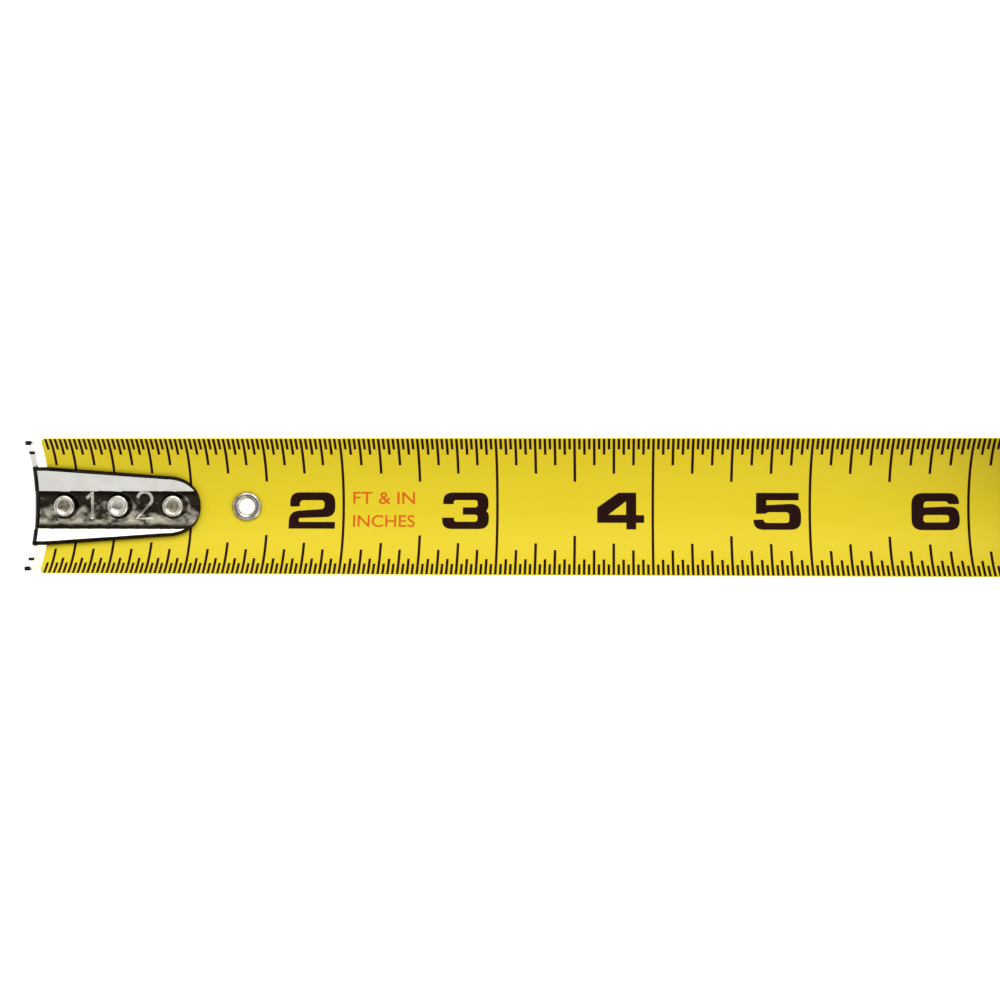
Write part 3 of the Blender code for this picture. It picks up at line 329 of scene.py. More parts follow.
def turned(profile, steps):
    """A closed profile of (radius, height) points turned about Z."""
    bm = bmesh.new()
    verts = [bm.verts.new((radius, 0, along)) for radius, along in profile]
    for first, second in zip(verts, verts[1:]):
        bm.edges.new((first, second))
    if profile[0][0] > 0:
        bm.edges.new((verts[-1], verts[0]))
    bmesh.ops.spin(
        bm,
        geom=bm.verts[:] + bm.edges[:],
        axis=(0, 0, 1),
        angle=math.tau,
        steps=steps,
        use_merge=True,
    )
    bmesh.ops.remove_doubles(bm, verts=bm.verts, dist=1e-7)
    return bm


def loft(rings):
    """A closed surface through rings of equally many points."""
    bm = bmesh.new()
    rows = [[bm.verts.new(point) for point in points] for points in rings]
    for first, second in zip(rows, rows[1:]):
        for k in range(len(first)):
            bm.faces.new((first[k - 1], first[k], second[k], second[k - 1]))
    bm.faces.new(rows[0])
    bm.faces.new(rows[-1])
    return bm


# ---- materials


class Finish:
    """A Principled material whose colour, roughness and relief come from noise."""

    def __init__(self, name, roughness, metallic=0.0):
        self.material = bpy.data.materials.new(name)
        self.material.use_nodes = True
        self.tree = self.material.node_tree
        self.shader = self.tree.nodes["Principled BSDF"]
        self.set("Roughness", roughness)
        self.set("Metallic", metallic)
        self.place = self.tree.nodes.new("ShaderNodeTexCoord").outputs["Object"]

    def set(self, socket, value):
        self.shader.inputs[socket].default_value = value
        return self

    def link(self, output, node_input):
        self.tree.links.new(output, node_input)

    def noise(self, size, detail=4, stretch=(1, 1, 1)):
        """Noise with features of about that size in metres, drawn out by stretch."""
        mapping = self.tree.nodes.new("ShaderNodeMapping")
        mapping.inputs["Scale"].default_value = [1 / (size * s) for s in stretch]
        self.link(self.place, mapping.inputs["Vector"])
        node = self.tree.nodes.new("ShaderNodeTexNoise")
        node.inputs["Scale"].default_value = 1
        node.inputs["Detail"].default_value = detail
        self.link(mapping.outputs["Vector"], node.inputs["Vector"])
        return node.outputs["Fac"]

    def between(self, factor, low, high, start=0.3, end=0.7):
        """A value that goes from low to high as the factor goes from start to end."""
        node = self.tree.nodes.new("ShaderNodeMapRange")
        for socket, value in zip(
            ("From Min", "From Max", "To Min", "To Max"), (start, end, low, high)
        ):
            node.inputs[socket].default_value = value
        self.link(factor, node.inputs["Value"])
        return node.outputs["Result"]

    def blend(self, factor, first, second):
        """A colour from first to second; either may be another node's output."""
        node = self.tree.nodes.new("ShaderNodeMix")
        node.data_type = "RGBA"
        self.link(factor, node.inputs["Factor"])
        for socket, colour in ((node.inputs[6], first), (node.inputs[7], second)):
            if isinstance(colour, bpy.types.NodeSocket):
                self.link(colour, socket)
            else:
                socket.default_value = (*colour, 1)
        return node.outputs[2]

    def colour(self, output):
        self.link(output, self.shader.inputs["Base Color"])

    def roughness(self, output):
        self.link(output, self.shader.inputs["Roughness"])

    def relief(self, height, distance, strength):
        """Bump of that many metres from a height; a second call adds to the first."""
        node = self.tree.nodes.new("ShaderNodeBump")
        node.inputs["Strength"].default_value = strength
        node.inputs["Distance"].default_value = distance
        self.link(height, node.inputs["Height"])
        normal = self.shader.inputs["Normal"]
        if normal.links:
            self.link(normal.links[0].from_socket, node.inputs["Normal"])
        self.link(node.outputs["Normal"], normal)

    def along(self, axis):
        """The place along an axis of the frame, in metres."""
        node = self.tree.nodes.new("ShaderNodeSeparateXYZ")
        self.link(self.place, node.inputs["Vector"])
        return node.outputs[axis]

    def math(self, operation, *values):
        node = self.tree.nodes.new("ShaderNodeMath")
        node.operation = operation
        for socket, value in zip(node.inputs, values):
            if isinstance(value, bpy.types.NodeSocket):
                self.link(value, socket)
            else:
                socket.default_value = value
        return node.outputs["Value"]


def blade_paint():
    """Yellow paint under a clear film, with faint cloudiness and fine scuffs along the blade."""
    look = Finish("blade_paint", 0.42)
    cloud = look.noise(6 * MM, 3, (3, 1, 1))
    look.colour(look.blend(cloud, (0.74, 0.585, 0.017), (0.77, 0.61, 0.021)))
    scuff = look.noise(0.25 * MM, 5, (30, 1, 1))
    look.roughness(look.between(scuff, 0.36, 0.5))
    look.relief(scuff, 0.004 * MM, 0.4)
    look.set("Specular IOR Level", 0.15)
    return look.material


def print_ink(name, colour):
    look = Finish(name, 0.6)
    look.set("Specular IOR Level", 0.06)
    speckle = look.noise(0.3 * MM, 3)
    lighter = [c * 1.35 + 0.002 for c in colour]
    look.colour(look.blend(look.between(speckle, 0, 1), colour, lighter))
    look.roughness(look.between(speckle, 0.5, 0.7))
    look.relief(speckle, 0.003 * MM, 0.4)
    return look.material


def plated_steel(name, light, dark, roughness, cloud_size, wave=0.0):
    """Plating with cloudy patches and, where wave is given, a stamped surface's waviness."""
    look = Finish(name, roughness, 1.0)
    cloud = look.noise(cloud_size, 6)
    look.colour(look.blend(look.between(cloud, 0, 1, 0.38, 0.62), dark, light))
    fine = look.noise(0.15 * MM, 4, (4, 1, 1))
    look.roughness(look.between(fine, roughness * 0.75, roughness * 1.35))
    look.relief(fine, 0.004 * MM, 0.5)
    if wave:
        look.relief(look.noise(cloud_size * 0.8, 3), wave, 0.7)
    return look.material


def moulded_plastic(name, colour, roughness, grain=0.35 * MM, depth=0.02 * MM):
    """Moulded plastic with a spark-eroded texture and faint handling marks."""
    look = Finish(name, roughness)
    mark = look.noise(9 * MM, 5)
    lighter = [c * 1.3 + 0.003 for c in colour]
    look.colour(look.blend(look.between(mark, 0, 1), colour, lighter))
    look.roughness(look.between(mark, roughness * 0.85, min(1, roughness * 1.2)))
    look.relief(look.noise(grain, 5), depth, 0.8)
    return look.material


def spring_strip(name, colour, roughness):
    """Strip steel with rolling lines along X."""
    look = Finish(name, roughness, 1.0)
    rolled = look.noise(0.2 * MM, 4, (25, 1, 1))
    lighter = [min(1, c * 1.25) for c in colour]
    look.colour(look.blend(look.between(rolled, 0, 1), colour, lighter))
    look.roughness(look.between(rolled, roughness * 0.8, roughness * 1.3))
    look.relief(rolled, 0.006 * MM, 0.5)
    return look.material


def brushed_disc():
    """Turned aluminium: fine rings about the disc's middle."""
    look = Finish("badge_metal", 0.3, 1.0)
    centre = middle_of("badge_disc")
    x = look.math("SUBTRACT", look.along("X"), centre.x)
    z = look.math("SUBTRACT", look.along("Z"), centre.z)
    squares = look.math("ADD", look.math("MULTIPLY", x, x), look.math("MULTIPLY", z, z))
    radius = look.math("SQRT", squares)
    rings = look.math("SINE", look.math("MULTIPLY", radius, math.tau / (0.35 * MM)))
    patch = look.noise(5 * MM, 4)
    look.colour(look.blend(patch, (0.4, 0.4, 0.41), (0.44, 0.44, 0.45)))
    look.roughness(look.between(rings, 0.24, 0.4, -1, 1))
    look.relief(rings, 0.006 * MM, 0.6)
    return look.material


def hook_channel():
    """The hook's pressed middle: dark plating mottled with painted reflection, and painted shade
    along the channel's edges.
    """
    look = Finish("hook_channel", 0.26, 1.0)
    mottle = look.noise(1.6 * MM, 6, (1.3, 1, 1))
    # the lighter patches grow more common towards -Y
    minus_y_bias = look.math("MULTIPLY", look.along("Y"), -0.045 / MM)
    mottle = look.math("ADD", mottle, minus_y_bias)
    # dark patches of painted reflection among patches of the plating's own tone
    patch = look.blend(look.between(mottle, 0, 1, 0.51, 0.7), DARK_REFLECTION_PLATE, WORN_PLATE)
    off_middle = look.math("SUBTRACT", look.along("Y"), CHANNEL_MIDDLE * MM)
    side = look.math("ABSOLUTE", off_middle)
    ragged = look.math("ADD", side, look.math("MULTIPLY", mottle, 1.2 * MM))
    # painted shade: a ragged near-black band where the channel's walls meet the raised flanks
    painted_shade_band = look.between(ragged, 0, 1, 2.6 * MM, 3.3 * MM)
    look.colour(look.blend(painted_shade_band, patch, (0.012, 0.009, 0.006)))
    look.roughness(look.between(mottle, 0.18, 0.42))
    look.relief(look.noise(1.1 * MM, 3), 0.12 * MM, 0.8)
    return look.material


PAINT = blade_paint()
INK = print_ink("print_ink", (0.014, 0.0025, 0.0012))
LEGEND_INK = print_ink("legend_ink", (0.58, 0.105, 0.008))
HOOK_LOOKS = (  # in the order of the hook's material slots
    plated_steel("hook_plate", (0.93, 0.91, 0.87), (0.86, 0.84, 0.79), 0.34, 2.5 * MM),
    # painted shade: near-black plating for the hook's shaded edges
    plated_steel("hook_shaded_edge", (0.03, 0.022, 0.016), (0.008, 0.006, 0.004), 0.5, 1.0 * MM),
    plated_steel("hook_front", (0.46, 0.45, 0.43), (0.34, 0.33, 0.31), 0.4, 2.5 * MM),
    hook_channel(),
)
RIVET_PLATE = plated_steel(
    "rivet_plate", (0.85, 0.83, 0.76), (0.55, 0.52, 0.44), 0.22, 1.2 * MM, 0.05 * MM
)
# painted shade: darker plating for the hollow middles of the first and third rivet heads
RIVET_DIMPLE_SHADE = plated_steel(
    "rivet_dimple_shade", (0.42, 0.38, 0.29), (0.2, 0.17, 0.11), 0.35, 0.7 * MM, 0.04 * MM
)
EYELET_PLATE = plated_steel(
    "eyelet_plate", (0.62, 0.59, 0.55), (0.3, 0.27, 0.24), 0.2, 1.2 * MM
)
CASE_PLASTIC = moulded_plastic("case_plastic", (0.03, 0.032, 0.036), 0.42)
GRIP_RUBBER = moulded_plastic("grip_rubber", (0.014, 0.014, 0.015), 0.72, 0.5 * MM, 0.035 * MM)
LOCK_PLASTIC = moulded_plastic("lock_plastic", (0.45, 0.025, 0.008), 0.4, 0.3 * MM, 0.01 * MM)
DRUM_PLASTIC = moulded_plastic("drum_plastic", (0.68, 0.66, 0.6), 0.45, 0.6 * MM, 0.01 * MM)
WASHER_PLASTIC = moulded_plastic(
    "washer_plastic", (0.76, 0.74, 0.68), 0.3, 0.6 * MM, 0.005 * MM
)
SPRING_STEEL = spring_strip("spring_steel", (0.2, 0.23, 0.29), 0.33)
CLIP_STEEL = spring_strip("clip_steel", (0.46, 0.46, 0.45), 0.34)
SCREW_STEEL = plated_steel("screw_steel", (0.2, 0.2, 0.21), (0.1, 0.1, 0.105), 0.36, 1.5 * MM)
BADGE_METAL = brushed_disc()


def place_piece(obj, body, slot, *replaced):
    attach(obj, body)
    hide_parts(*replaced)


# ---- blade


def make_tip():
    """The first two inches of the blade, pierced for the rivets and the eyelet."""
    outline = rounded(
        [
            (TIP_START, -BLADE_HALF, TIP_CORNER),
            (TIP_END, -BLADE_HALF, SHARP),
            (TIP_END, BLADE_HALF, SHARP),
            (TIP_START, BLADE_HALF, TIP_CORNER),
        ]
    )
    holes = [circle(distance, 0, RIVET_HOLE) for distance in RIVET_DISTANCES]
    holes.append(circle(EYELET_DISTANCE, 0, EYELET_HOLE))
    thickness = BLADE_THICKNESS / MM
    bm = bend_on_cup(flat_solid([outline, *holes], -thickness, 0))
    place_piece(add_object("tip", bm, PAINT), "blade", "blade_yellow", "blade_tip")


def span_section(x, z, slope, cup):
    """The blade's section where its cup is that share of the full one, top face then bottom."""
    curvature = max(cup, 0.001) / CUP_RADIUS
    across = 48
    points = []
    for depth, order in ((0, 1), (BLADE_THICKNESS, -1)):
        for k in list(range(across + 1))[::order]:
            along = BLADE_HALF * MM * (2 * k / across - 1)
            reach = 1 / curvature + depth
            rise = 1 / curvature - reach * math.cos(along * curvature)
            side = reach * math.sin(along * curvature)
            points.append((x - rise * math.sin(slope), side, z + rise * math.cos(slope)))
    return points


def make_span():
    """The blade from the two-inch line into the case, where it flattens and meets the coil."""
    coil_low, coil_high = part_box("blade_coil")
    radius = (coil_high.x - coil_low.x) / 2 + 0.3 * MM
    meet_x = (coil_low.x + coil_high.x) / 2 - radius * math.sin(MEET_ANGLE)
    meet_z = (coil_low.z + coil_high.z) / 2 - radius * math.cos(MEET_ANGLE)
    bend_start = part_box("mouth_guide")[1].x
    run, rise = meet_x - bend_start, meet_z - BLADE_LEVEL
    rings = [span_section(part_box("blade_span")[0].x, BLADE_LEVEL, 0, 1)]
    steps = 24
    for k in range(steps + 1):
        t = k / steps
        bent = ease(t, 0, 1)
        z = BLADE_LEVEL + rise * bent + run * math.tan(MEET_ANGLE) * t * t * (t - 1)
        rings.append(span_section(bend_start + run * t, z, MEET_ANGLE * bent, 1 - bent))
    return add_object("span", loft(rings), PAINT)


def gather_in(obj):
    """Gives the strip a mesh of its own."""
    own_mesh(obj)


# ---- hook, rivets, eyelet


def tongue_half_width(distance):
    """Half the tongue's width: nearly straight, then tapered, then a round nose."""
    nose_start = TONGUE_LENGTH - TONGUE_NOSE
    if distance <= TONGUE_TAPER_START:
        return TONGUE_ROOT_HALF
    share = (distance - TONGUE_TAPER_START) / (nose_start - TONGUE_TAPER_START)
    if distance <= nose_start:
        return TONGUE_ROOT_HALF + (TONGUE_END_HALF - TONGUE_ROOT_HALF) * share
    share = (distance - nose_start) / TONGUE_NOSE
    return TONGUE_END_HALF * (1 - share**2.2) ** (1 / 2.2)


def ease(value, start, end):
    """0 before start, 1 after end, smooth between."""
    t = min(1, max(0, (value - start) / (end - start)))
    return t * t * (3 - 2 * t)


def stamped_height(distance, across):
    """The tongue's top: raised flanks, a pressed channel, and a raised ring round each rivet."""
    aside = abs(across - CHANNEL_MIDDLE)
    pressed = 1 - ease(aside, CHANNEL_HALF - CHANNEL_SIDE, CHANNEL_HALF)
    height = TONGUE_TOP - CHANNEL_DEPTH * pressed
    for rivet in RIVET_DISTANCES:
        gap = math.hypot(distance - rivet, across) - STAMPED_RING
        height += RING_HEIGHT * math.exp(-((gap / RING_WIDTH) ** 2))
    return height


def tongue_rows():
    """(distance, drop) of the tongue's sections: round the bend, along it, and the nose."""
    rows = []
    bend_steps, nose_steps = 8, 36
    for k in range(bend_steps):
        turn = math.pi / 2 * k / bend_steps
        reach = HOOK_FACE + BEND_RADIUS * (1 - math.cos(turn))
        rows.append((reach, BEND_RADIUS * (1 - math.sin(turn))))
    distance, nose_start = HOOK_FACE + BEND_RADIUS, TONGUE_LENGTH - TONGUE_NOSE
    rows.append((distance, 0.0))
    while distance < nose_start:
        distance += TONGUE_STEP
        rows.append((distance, 0.0))
    for k in range(1, nose_steps + 1):
        share = 0.9995 * math.sin(math.pi / 2 * k / nose_steps)  # it stops just short of a point
        rows.append((nose_start + TONGUE_NOSE * share, 0.0))
    return rows


def tongue_section(bm, distance, drop):
    """The corners of one section: the top from edge to edge, and the two of the underside."""
    half = tongue_half_width(distance)
    places = [(-half, TONGUE_TOP - EDGE_DROP)]
    for k in range(TONGUE_COLUMNS + 1):
        across = (half - EDGE_WIDTH) * (2 * k / TONGUE_COLUMNS - 1)
        places.append((across, stamped_height(distance, across)))
    places.append((half, TONGUE_TOP - EDGE_DROP))
    top = [bm.verts.new((distance, across, height - drop)) for across, height in places]
    under = [bm.verts.new((distance, side, TONGUE_UNDER - drop)) for side in (-half, half)]
    return top, under


def make_tongue():
    """The part that lies on the blade, from the bend to the round nose, with its edges painted
    dark as painted shade.
    """
    bm = bmesh.new()
    sections = [tongue_section(bm, *row) for row in tongue_rows()]
    for (first, low_first), (second, low_second) in zip(sections, sections[1:]):
        last = len(first) - 2
        for k in range(last + 1):
            face = bm.faces.new((first[k], second[k], second[k + 1], first[k + 1]))
            aside = abs(face.calc_center_median().y - CHANNEL_MIDDLE)
            face.material_index = PLATE if aside > CHANNEL_HALF - 0.1 else CHANNEL
            # the chamfers along both edges take the painted shade
            if k in (0, last):
                face.material_index = SHADED_EDGE
        # its sides, underside and nose take the painted shade too
        sides = (
            (first[0], low_first[0], low_second[0], second[0]),
            (first[-1], second[-1], low_second[1], low_first[1]),
            (low_first[0], low_first[1], low_second[1], low_second[0]),
        )
        for corners in sides:
            bm.faces.new(corners).material_index = SHADED_EDGE
    (top, under), (nose_top, nose_under) = sections[0], sections[-1]
    bm.faces.new(top[::-1] + under).material_index = FRONT
    bm.faces.new(nose_top + nose_under[::-1]).material_index = SHADED_EDGE
    # the bend's curve takes the painted shade; only its very front keeps the front colour
    bend_end, front_end = HOOK_FACE + BEND_RADIUS + 0.05, HOOK_FACE + 0.12
    for face in bm.faces:
        middle = face.calc_center_median().x
        if middle < bend_end and len(face.verts) == 4:
            face.material_index = SHADED_EDGE if middle > front_end else FRONT
    return bend_on_cup(bm, 0.8)


def make_plate():
    """The upright that hooks over an edge: ears up to the blade's edges, a cup between."""
    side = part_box("end_hook")[1].y / MM - EAR_TRIM
    low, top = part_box("end_hook")[0].z / MM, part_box("end_hook")[1].z / MM
    centre_z = CUP_CENTRE_Z / MM
    cup = CUP_RADIUS / MM - TONGUE_UNDER
    half_angle = math.degrees(math.acos((centre_z - top) / cup))
    outline = rounded([(side, top, 0.6), (side, low, 2.5), (-side, low, 2.5), (-side, top, 0.6)])
    outline += arc(0, centre_z, cup, cup, -90 - half_angle, half_angle - 90, 40)
    bm = flat_solid([outline], 0, HOOK_THICKNESS)
    turn = Matrix(((0, 0, 1, 0), (1, 0, 0, 0), (0, 1, 0, 0), (0, 0, 0, 1)))
    place = Matrix.Translation((ZERO_X + HOOK_FACE * MM, 0, 0)) @ Matrix.Scale(MM, 4)
    for face in bm.faces:
        aside = abs(face.calc_center_median().x) / side
        upper = face.calc_center_median().y > centre_z - 0.8 * cup
        # the dark places on the ears' tops take the shaded edge colour: painted shade
        dotted = upper and any(start < aside < end for start, end in EAR_DOTS)
        face.material_index = SHADED_EDGE if dotted else PLATE
        if face.calc_center_median().z < 0.1:
            face.material_index = FRONT
    bm.transform(place @ turn)
    return bm


def make_digit(points, distance):
    """A raised line in the channel."""
    low = TONGUE_TOP - CHANNEL_DEPTH - 0.1
    outline = [point + Vector((distance, 0)) for point in stroke(points, DIGIT_STROKE)]
    return bend_on_cup(flat_solid([outline], low, low + 0.3))


def stroke(points, width):
    """The outline of a thin line of that width through the points."""
    left, right = [], []
    for k, point in enumerate(points):
        ahead = points[min(k + 1, len(points) - 1)] - points[max(k - 1, 0)]
        side = Vector((-ahead.y, ahead.x)).normalized() * width / 2
        left.append(point + side)
        right.append(point - side)
    return left + right[::-1]


def make_digits():
    """A 1 and a 2 between the rivets, which number the hook's slots."""
    stem = [Vector((0.25, 2.6)), Vector((0.25, -2.3))]
    flag = [Vector((-0.75, 1.4)), Vector((0.3, 2.4))]
    two = arc(0, 1.3, 1.2, 1.25, 170, -40, 14) + [Vector((-1.3, -2.2)), Vector((1.5, -2.2))]
    lines = ((stem, 8.75), (flag, 8.75), (two, 17.8))
    return merged(*(make_digit(*line) for line in lines))


def make_hook():
    hook = add_object("hook", make_tongue(), *HOOK_LOOKS, smooth=50)
    place_piece(hook, "hook", "hook_steel", "end_hook")
    plate = add_object("hook_upright", make_plate(), *HOOK_LOOKS[:CHANNEL])
    bevel(plate, 0.15 * MM)
    digits = add_object("hook_digits", make_digits(), RIVET_PLATE)
    for obj in (plate, digits):
        place_piece(obj, "hook", "hook_steel")


def bevel(obj, width, angle=40):
    """Rounds the edges of a piece that are sharper than that many degrees."""
    modifier = obj.modifiers.new("edges", "BEVEL")
    modifier.width = width
    modifier.segments = 2
    modifier.limit_method = "ANGLE"
    modifier.angle_limit = math.radians(angle)
    modifier.harden_normals = True


def on_blade(bm, distance):
    """Moves a shape turned in millimetres to its place on the blade."""
    place = Matrix.Translation((ZERO_X + distance * MM, 0, BLADE_LEVEL))
    bm.transform(place @ Matrix.Scale(MM, 4))
    return bm


def heights_on_blade(node):
    """The node's top and bottom in millimetres over the blade's middle."""
    low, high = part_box(node)
    return (high.z - BLADE_LEVEL) / MM, (low.z - BLADE_LEVEL) / MM


def make_rivets():
    """Dished heads on the hook, and formed tails under the blade."""
    head, rim, shank, tail = RIVET_RADIUS, RIVET_RIM, 0.85, 1.5
    for k, distance in enumerate(RIVET_DISTANCES):
        top, bottom = heights_on_blade(f"hook_rivet_{k + 1}")
        profile = [
            (head * 0.68 * t, top - 0.28 + 0.22 * t**4) for t in (0, 0.3, 0.55, 0.75, 0.9, 1)
        ]
        profile += arc(head - rim, top - rim, rim, rim, 100, -10, 8)
        profile += [
            (head, top - 0.55), (shank, top - 0.6), (shank, -0.4), (tail, -0.45),
            (tail, bottom + 0.1), (tail - 0.15, bottom), (0, bottom),
        ]
        bm = turned(profile, 48)
        for face in bm.faces:
            middle = face.calc_center_median()
            inside = math.hypot(middle.x, middle.y) < head * 0.62 and middle.z > 0
            # the hollow middles of the first and third heads are painted darker: painted shade
            face.material_index = int(inside and k != 1)
        name = f"rivet_{k + 1}"
        obj = add_object(name, on_blade(bm, distance), RIVET_PLATE, RIVET_DIMPLE_SHADE, smooth=50)
        place_piece(obj, "blade", "rivet_steel", f"hook_rivet_{k + 1}")


def make_eyelet():
    """A rolled eyelet: a round lip on the print, a barrel, and a lip below."""
    low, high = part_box("eyelet")
    top, bottom = heights_on_blade("eyelet")
    outer = (high.x - low.x) / 2 / MM - 0.12
    middle, half = (outer + EYELET_BORE) / 2, (outer - EYELET_BORE) / 2
    barrel = EYELET_BORE + 0.3
    profile = arc(middle, top - 0.35, half, 0.35, 0, 180, 12)
    profile += arc(middle, bottom + 0.25, -half, -0.25, 0, 180, 12)[:-1]
    profile += [(outer - 0.3, -0.45), (barrel, -0.35), (barrel, top - 0.4)]
    bm = on_blade(turned(profile, 64), EYELET_DISTANCE)
    eyelet = add_object("rolled_eyelet", bm, EYELET_PLATE, smooth=60)
    place_piece(eyelet, "blade", "rivet_steel", "eyelet")


# ---- case outline


def case_corners():
    """The case's outline as (corner, radius) pairs, anticlockwise in the XZ plane."""
    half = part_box("case_left")[1].x
    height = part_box("case_left")[1].z
    down = Vector((-math.cos(SLOPE_ANGLE), -math.sin(SLOPE_ANGLE)))
    normal = Vector((-math.sin(SLOPE_ANGLE), math.cos(SLOPE_ANGLE)))
    foot = AXIS + (FLANGE_RADIUS + LOCK_ROOM + WALL) * normal
    crown = foot + (foot.y - height) / math.sin(SLOPE_ANGLE) * down
    brow = foot + (foot.x + half) / math.cos(SLOPE_ANGLE) * down
    feet = (Vector((-half, 0)), Vector((half, 0)))
    corners = (*feet, Vector((half, height)), crown, brow)
    return [(corner, radius * MM) for corner, radius in zip(corners, CORNER_RADII)]


def outward(a, b):
    along = (b - a).normalized()
    return Vector((along.y, -along.x))


def corner_normals():
    """(corner, radius, outward normals before it and after it) for each corner."""
    count = len(CASE_CORNERS)
    for i, (corner, radius) in enumerate(CASE_CORNERS):
        before, after = CASE_CORNERS[i - 1][0], CASE_CORNERS[(i + 1) % count][0]
        yield corner, radius, outward(before, corner), outward(corner, after)


def straight_lengths():
    """How long each straight run of the outline is, from the end of one arc to the next."""
    corners = list(corner_normals())
    tangents = [radius * math.tan(a.angle(b) / 2) for _, radius, a, b in corners]
    following = [*range(1, len(corners)), 0]
    return [
        (corners[after][0] - corners[i][0]).length - tangents[i] - tangents[after]
        for i, after in enumerate(following)
    ]


def case_outline(grow):
    """(point, outward normal, place along the outline) of the outline moved out by grow.

    Every outline has equally many points, so that lofts between them match.
    """
    gaps = straight_lengths()
    arcs = []
    for corner, radius, first, second in corner_normals():
        reach = max(radius + grow, 0.3 * MM)
        centre = corner - (first + second) * (reach - grow) / (1 + first.dot(second))
        arcs.append((centre, radius, reach, first, first.angle(second)))
    points, place = [], 0.0
    for i, (centre, radius, reach, first, turn) in enumerate(arcs):
        steps = max(4, round(turn * radius / OUTLINE_STEP))
        for k in range(steps + 1):
            normal = Matrix.Rotation(turn * k / steps, 2) @ first
            points.append((centre + reach * normal, normal, place + turn * radius * k / steps))
        place += turn * radius
        after = arcs[(i + 1) % len(arcs)]
        start = centre + reach * normal
        end = after[0] + after[2] * normal
        length = gaps[i]
        steps = max(2, round(length / OUTLINE_STEP))
        for k in range(1, steps):
            t = k / steps
            points.append((start.lerp(end, t), normal, place + length * t))
        place += length
    return points


def ring(grow, y, grooves=0.0):
    """The outline as points of the frame; grooves is how deep the grip's ribs are there."""
    points = []
    for point, normal, place in case_outline(grow):
        wave = math.sin(math.pi * place / RIB_PITCH)
        sunk = point - normal * grooves * (1 - wave * wave) ** 2
        points.append((sunk.x, y, sunk.y))
    return points


def shell(side, grow, near, chamfer=0.0, grooves=0.0):
    """Half of the case's form, grown by grow, from y = near to its rounded side."""
    rim = RIM_RADIUS + grow
    far = CASE_HALF_WIDTH + grow
    rings = [ring(grow - chamfer, side * near, grooves)]
    if chamfer:
        rings.append(ring(grow, side * (near + chamfer), grooves))
    rings.append(ring(grow, side * (far - rim - 0.5 * MM), grooves))
    steps = 10
    for k in range(steps + 1):
        angle = math.pi / 2 * k / steps
        inset = rim * (1 - math.cos(angle))
        sunk = grooves * (1 - k / steps) ** 2
        rings.append(ring(grow - inset, side * (far - rim * (1 - math.sin(angle))), sunk))
    return loft(rings)


# ---- case, grips and fittings


def combined(bm, other, operation):
    """The first shape cut by, joined with or limited to the other, by an EXACT Boolean."""
    objects = [linked("part", mesh_of(part)) for part in (bm, other)]
    modifier = objects[0].modifiers.new("combine", "BOOLEAN")
    modifier.object = objects[1]
    modifier.operation = operation
    result = bmesh_of(objects[0])
    bpy.data.objects.remove(objects[1])
    return result


def cut(bm, *cutters):
    for cutter in cutters:
        bm = combined(bm, cutter, "DIFFERENCE")
    return bm


def join(bm, *others):
    for other in others:
        bm = combined(bm, other, "UNION")
    return bm


def rod(radius, length, steps):
    """A cylinder along Z round the origin."""
    bm = bmesh.new()
    bmesh.ops.create_cone(
        bm, cap_ends=True, segments=steps, radius1=radius, radius2=radius, depth=length
    )
    return bm


def cylinder(radius, y_low, y_high, centre, steps=48):
    """A cylinder along Y round a centre in the XZ plane."""
    bm = rod(radius, y_high - y_low, steps)
    bm.transform(Matrix.Rotation(math.pi / 2, 4, "X"))
    bmesh.ops.translate(bm, vec=(centre.x, (y_low + y_high) / 2, centre.y), verts=bm.verts)
    return bm


def prism(outline, y_low, y_high):
    """An outline of the XZ plane extruded along Y; it is filled at a thousand times its size."""
    bm = flat_solid([[point / MM for point in outline]], y_low / MM, y_high / MM)
    turn = Matrix.Rotation(math.pi / 2, 4, "X") @ Matrix.Scale(-1, 4, (0, 0, 1))
    bm.transform(Matrix.Scale(MM, 4) @ turn)
    return bm


def soft_box(low, high, radius=0.0):
    """A box whose edges are rounded to that radius."""
    bm = flat_box(low, high)
    if radius:
        bmesh.ops.bevel(
            bm, geom=bm.edges[:], offset=radius, segments=4, profile=0.5, affect="EDGES"
        )
    return bm


def on_slope(bm):
    """Moves a shape drawn with X up the slope from the crown, Y across it and Z out of it."""
    down = Vector((-math.cos(SLOPE_ANGLE), 0, -math.sin(SLOPE_ANGLE)))
    normal = Vector((-math.sin(SLOPE_ANGLE), 0, math.cos(SLOPE_ANGLE)))
    turn = Matrix((-down, (0, 1, 0), normal)).transposed().to_4x4()
    crown = CASE_CORNERS[3][0]
    bm.transform(Matrix.Translation((crown.x, 0, crown.y)) @ turn)
    return bm


def slope_box(up, down, half_width, low, high, radius=0.0, shift=0.0):
    """A box on the slope, in millimetres up and down it from the lock's middle."""
    middle = shift - LOCK_S / MM
    corners = ((middle - down, -half_width, low), (middle + up, half_width, high))
    return on_slope(soft_box(*(Vector(corner) * MM for corner in corners), radius * MM))


def screw_centres():
    return [middle_of(f"case_screw_{k}").xz for k in range(1, 5)]


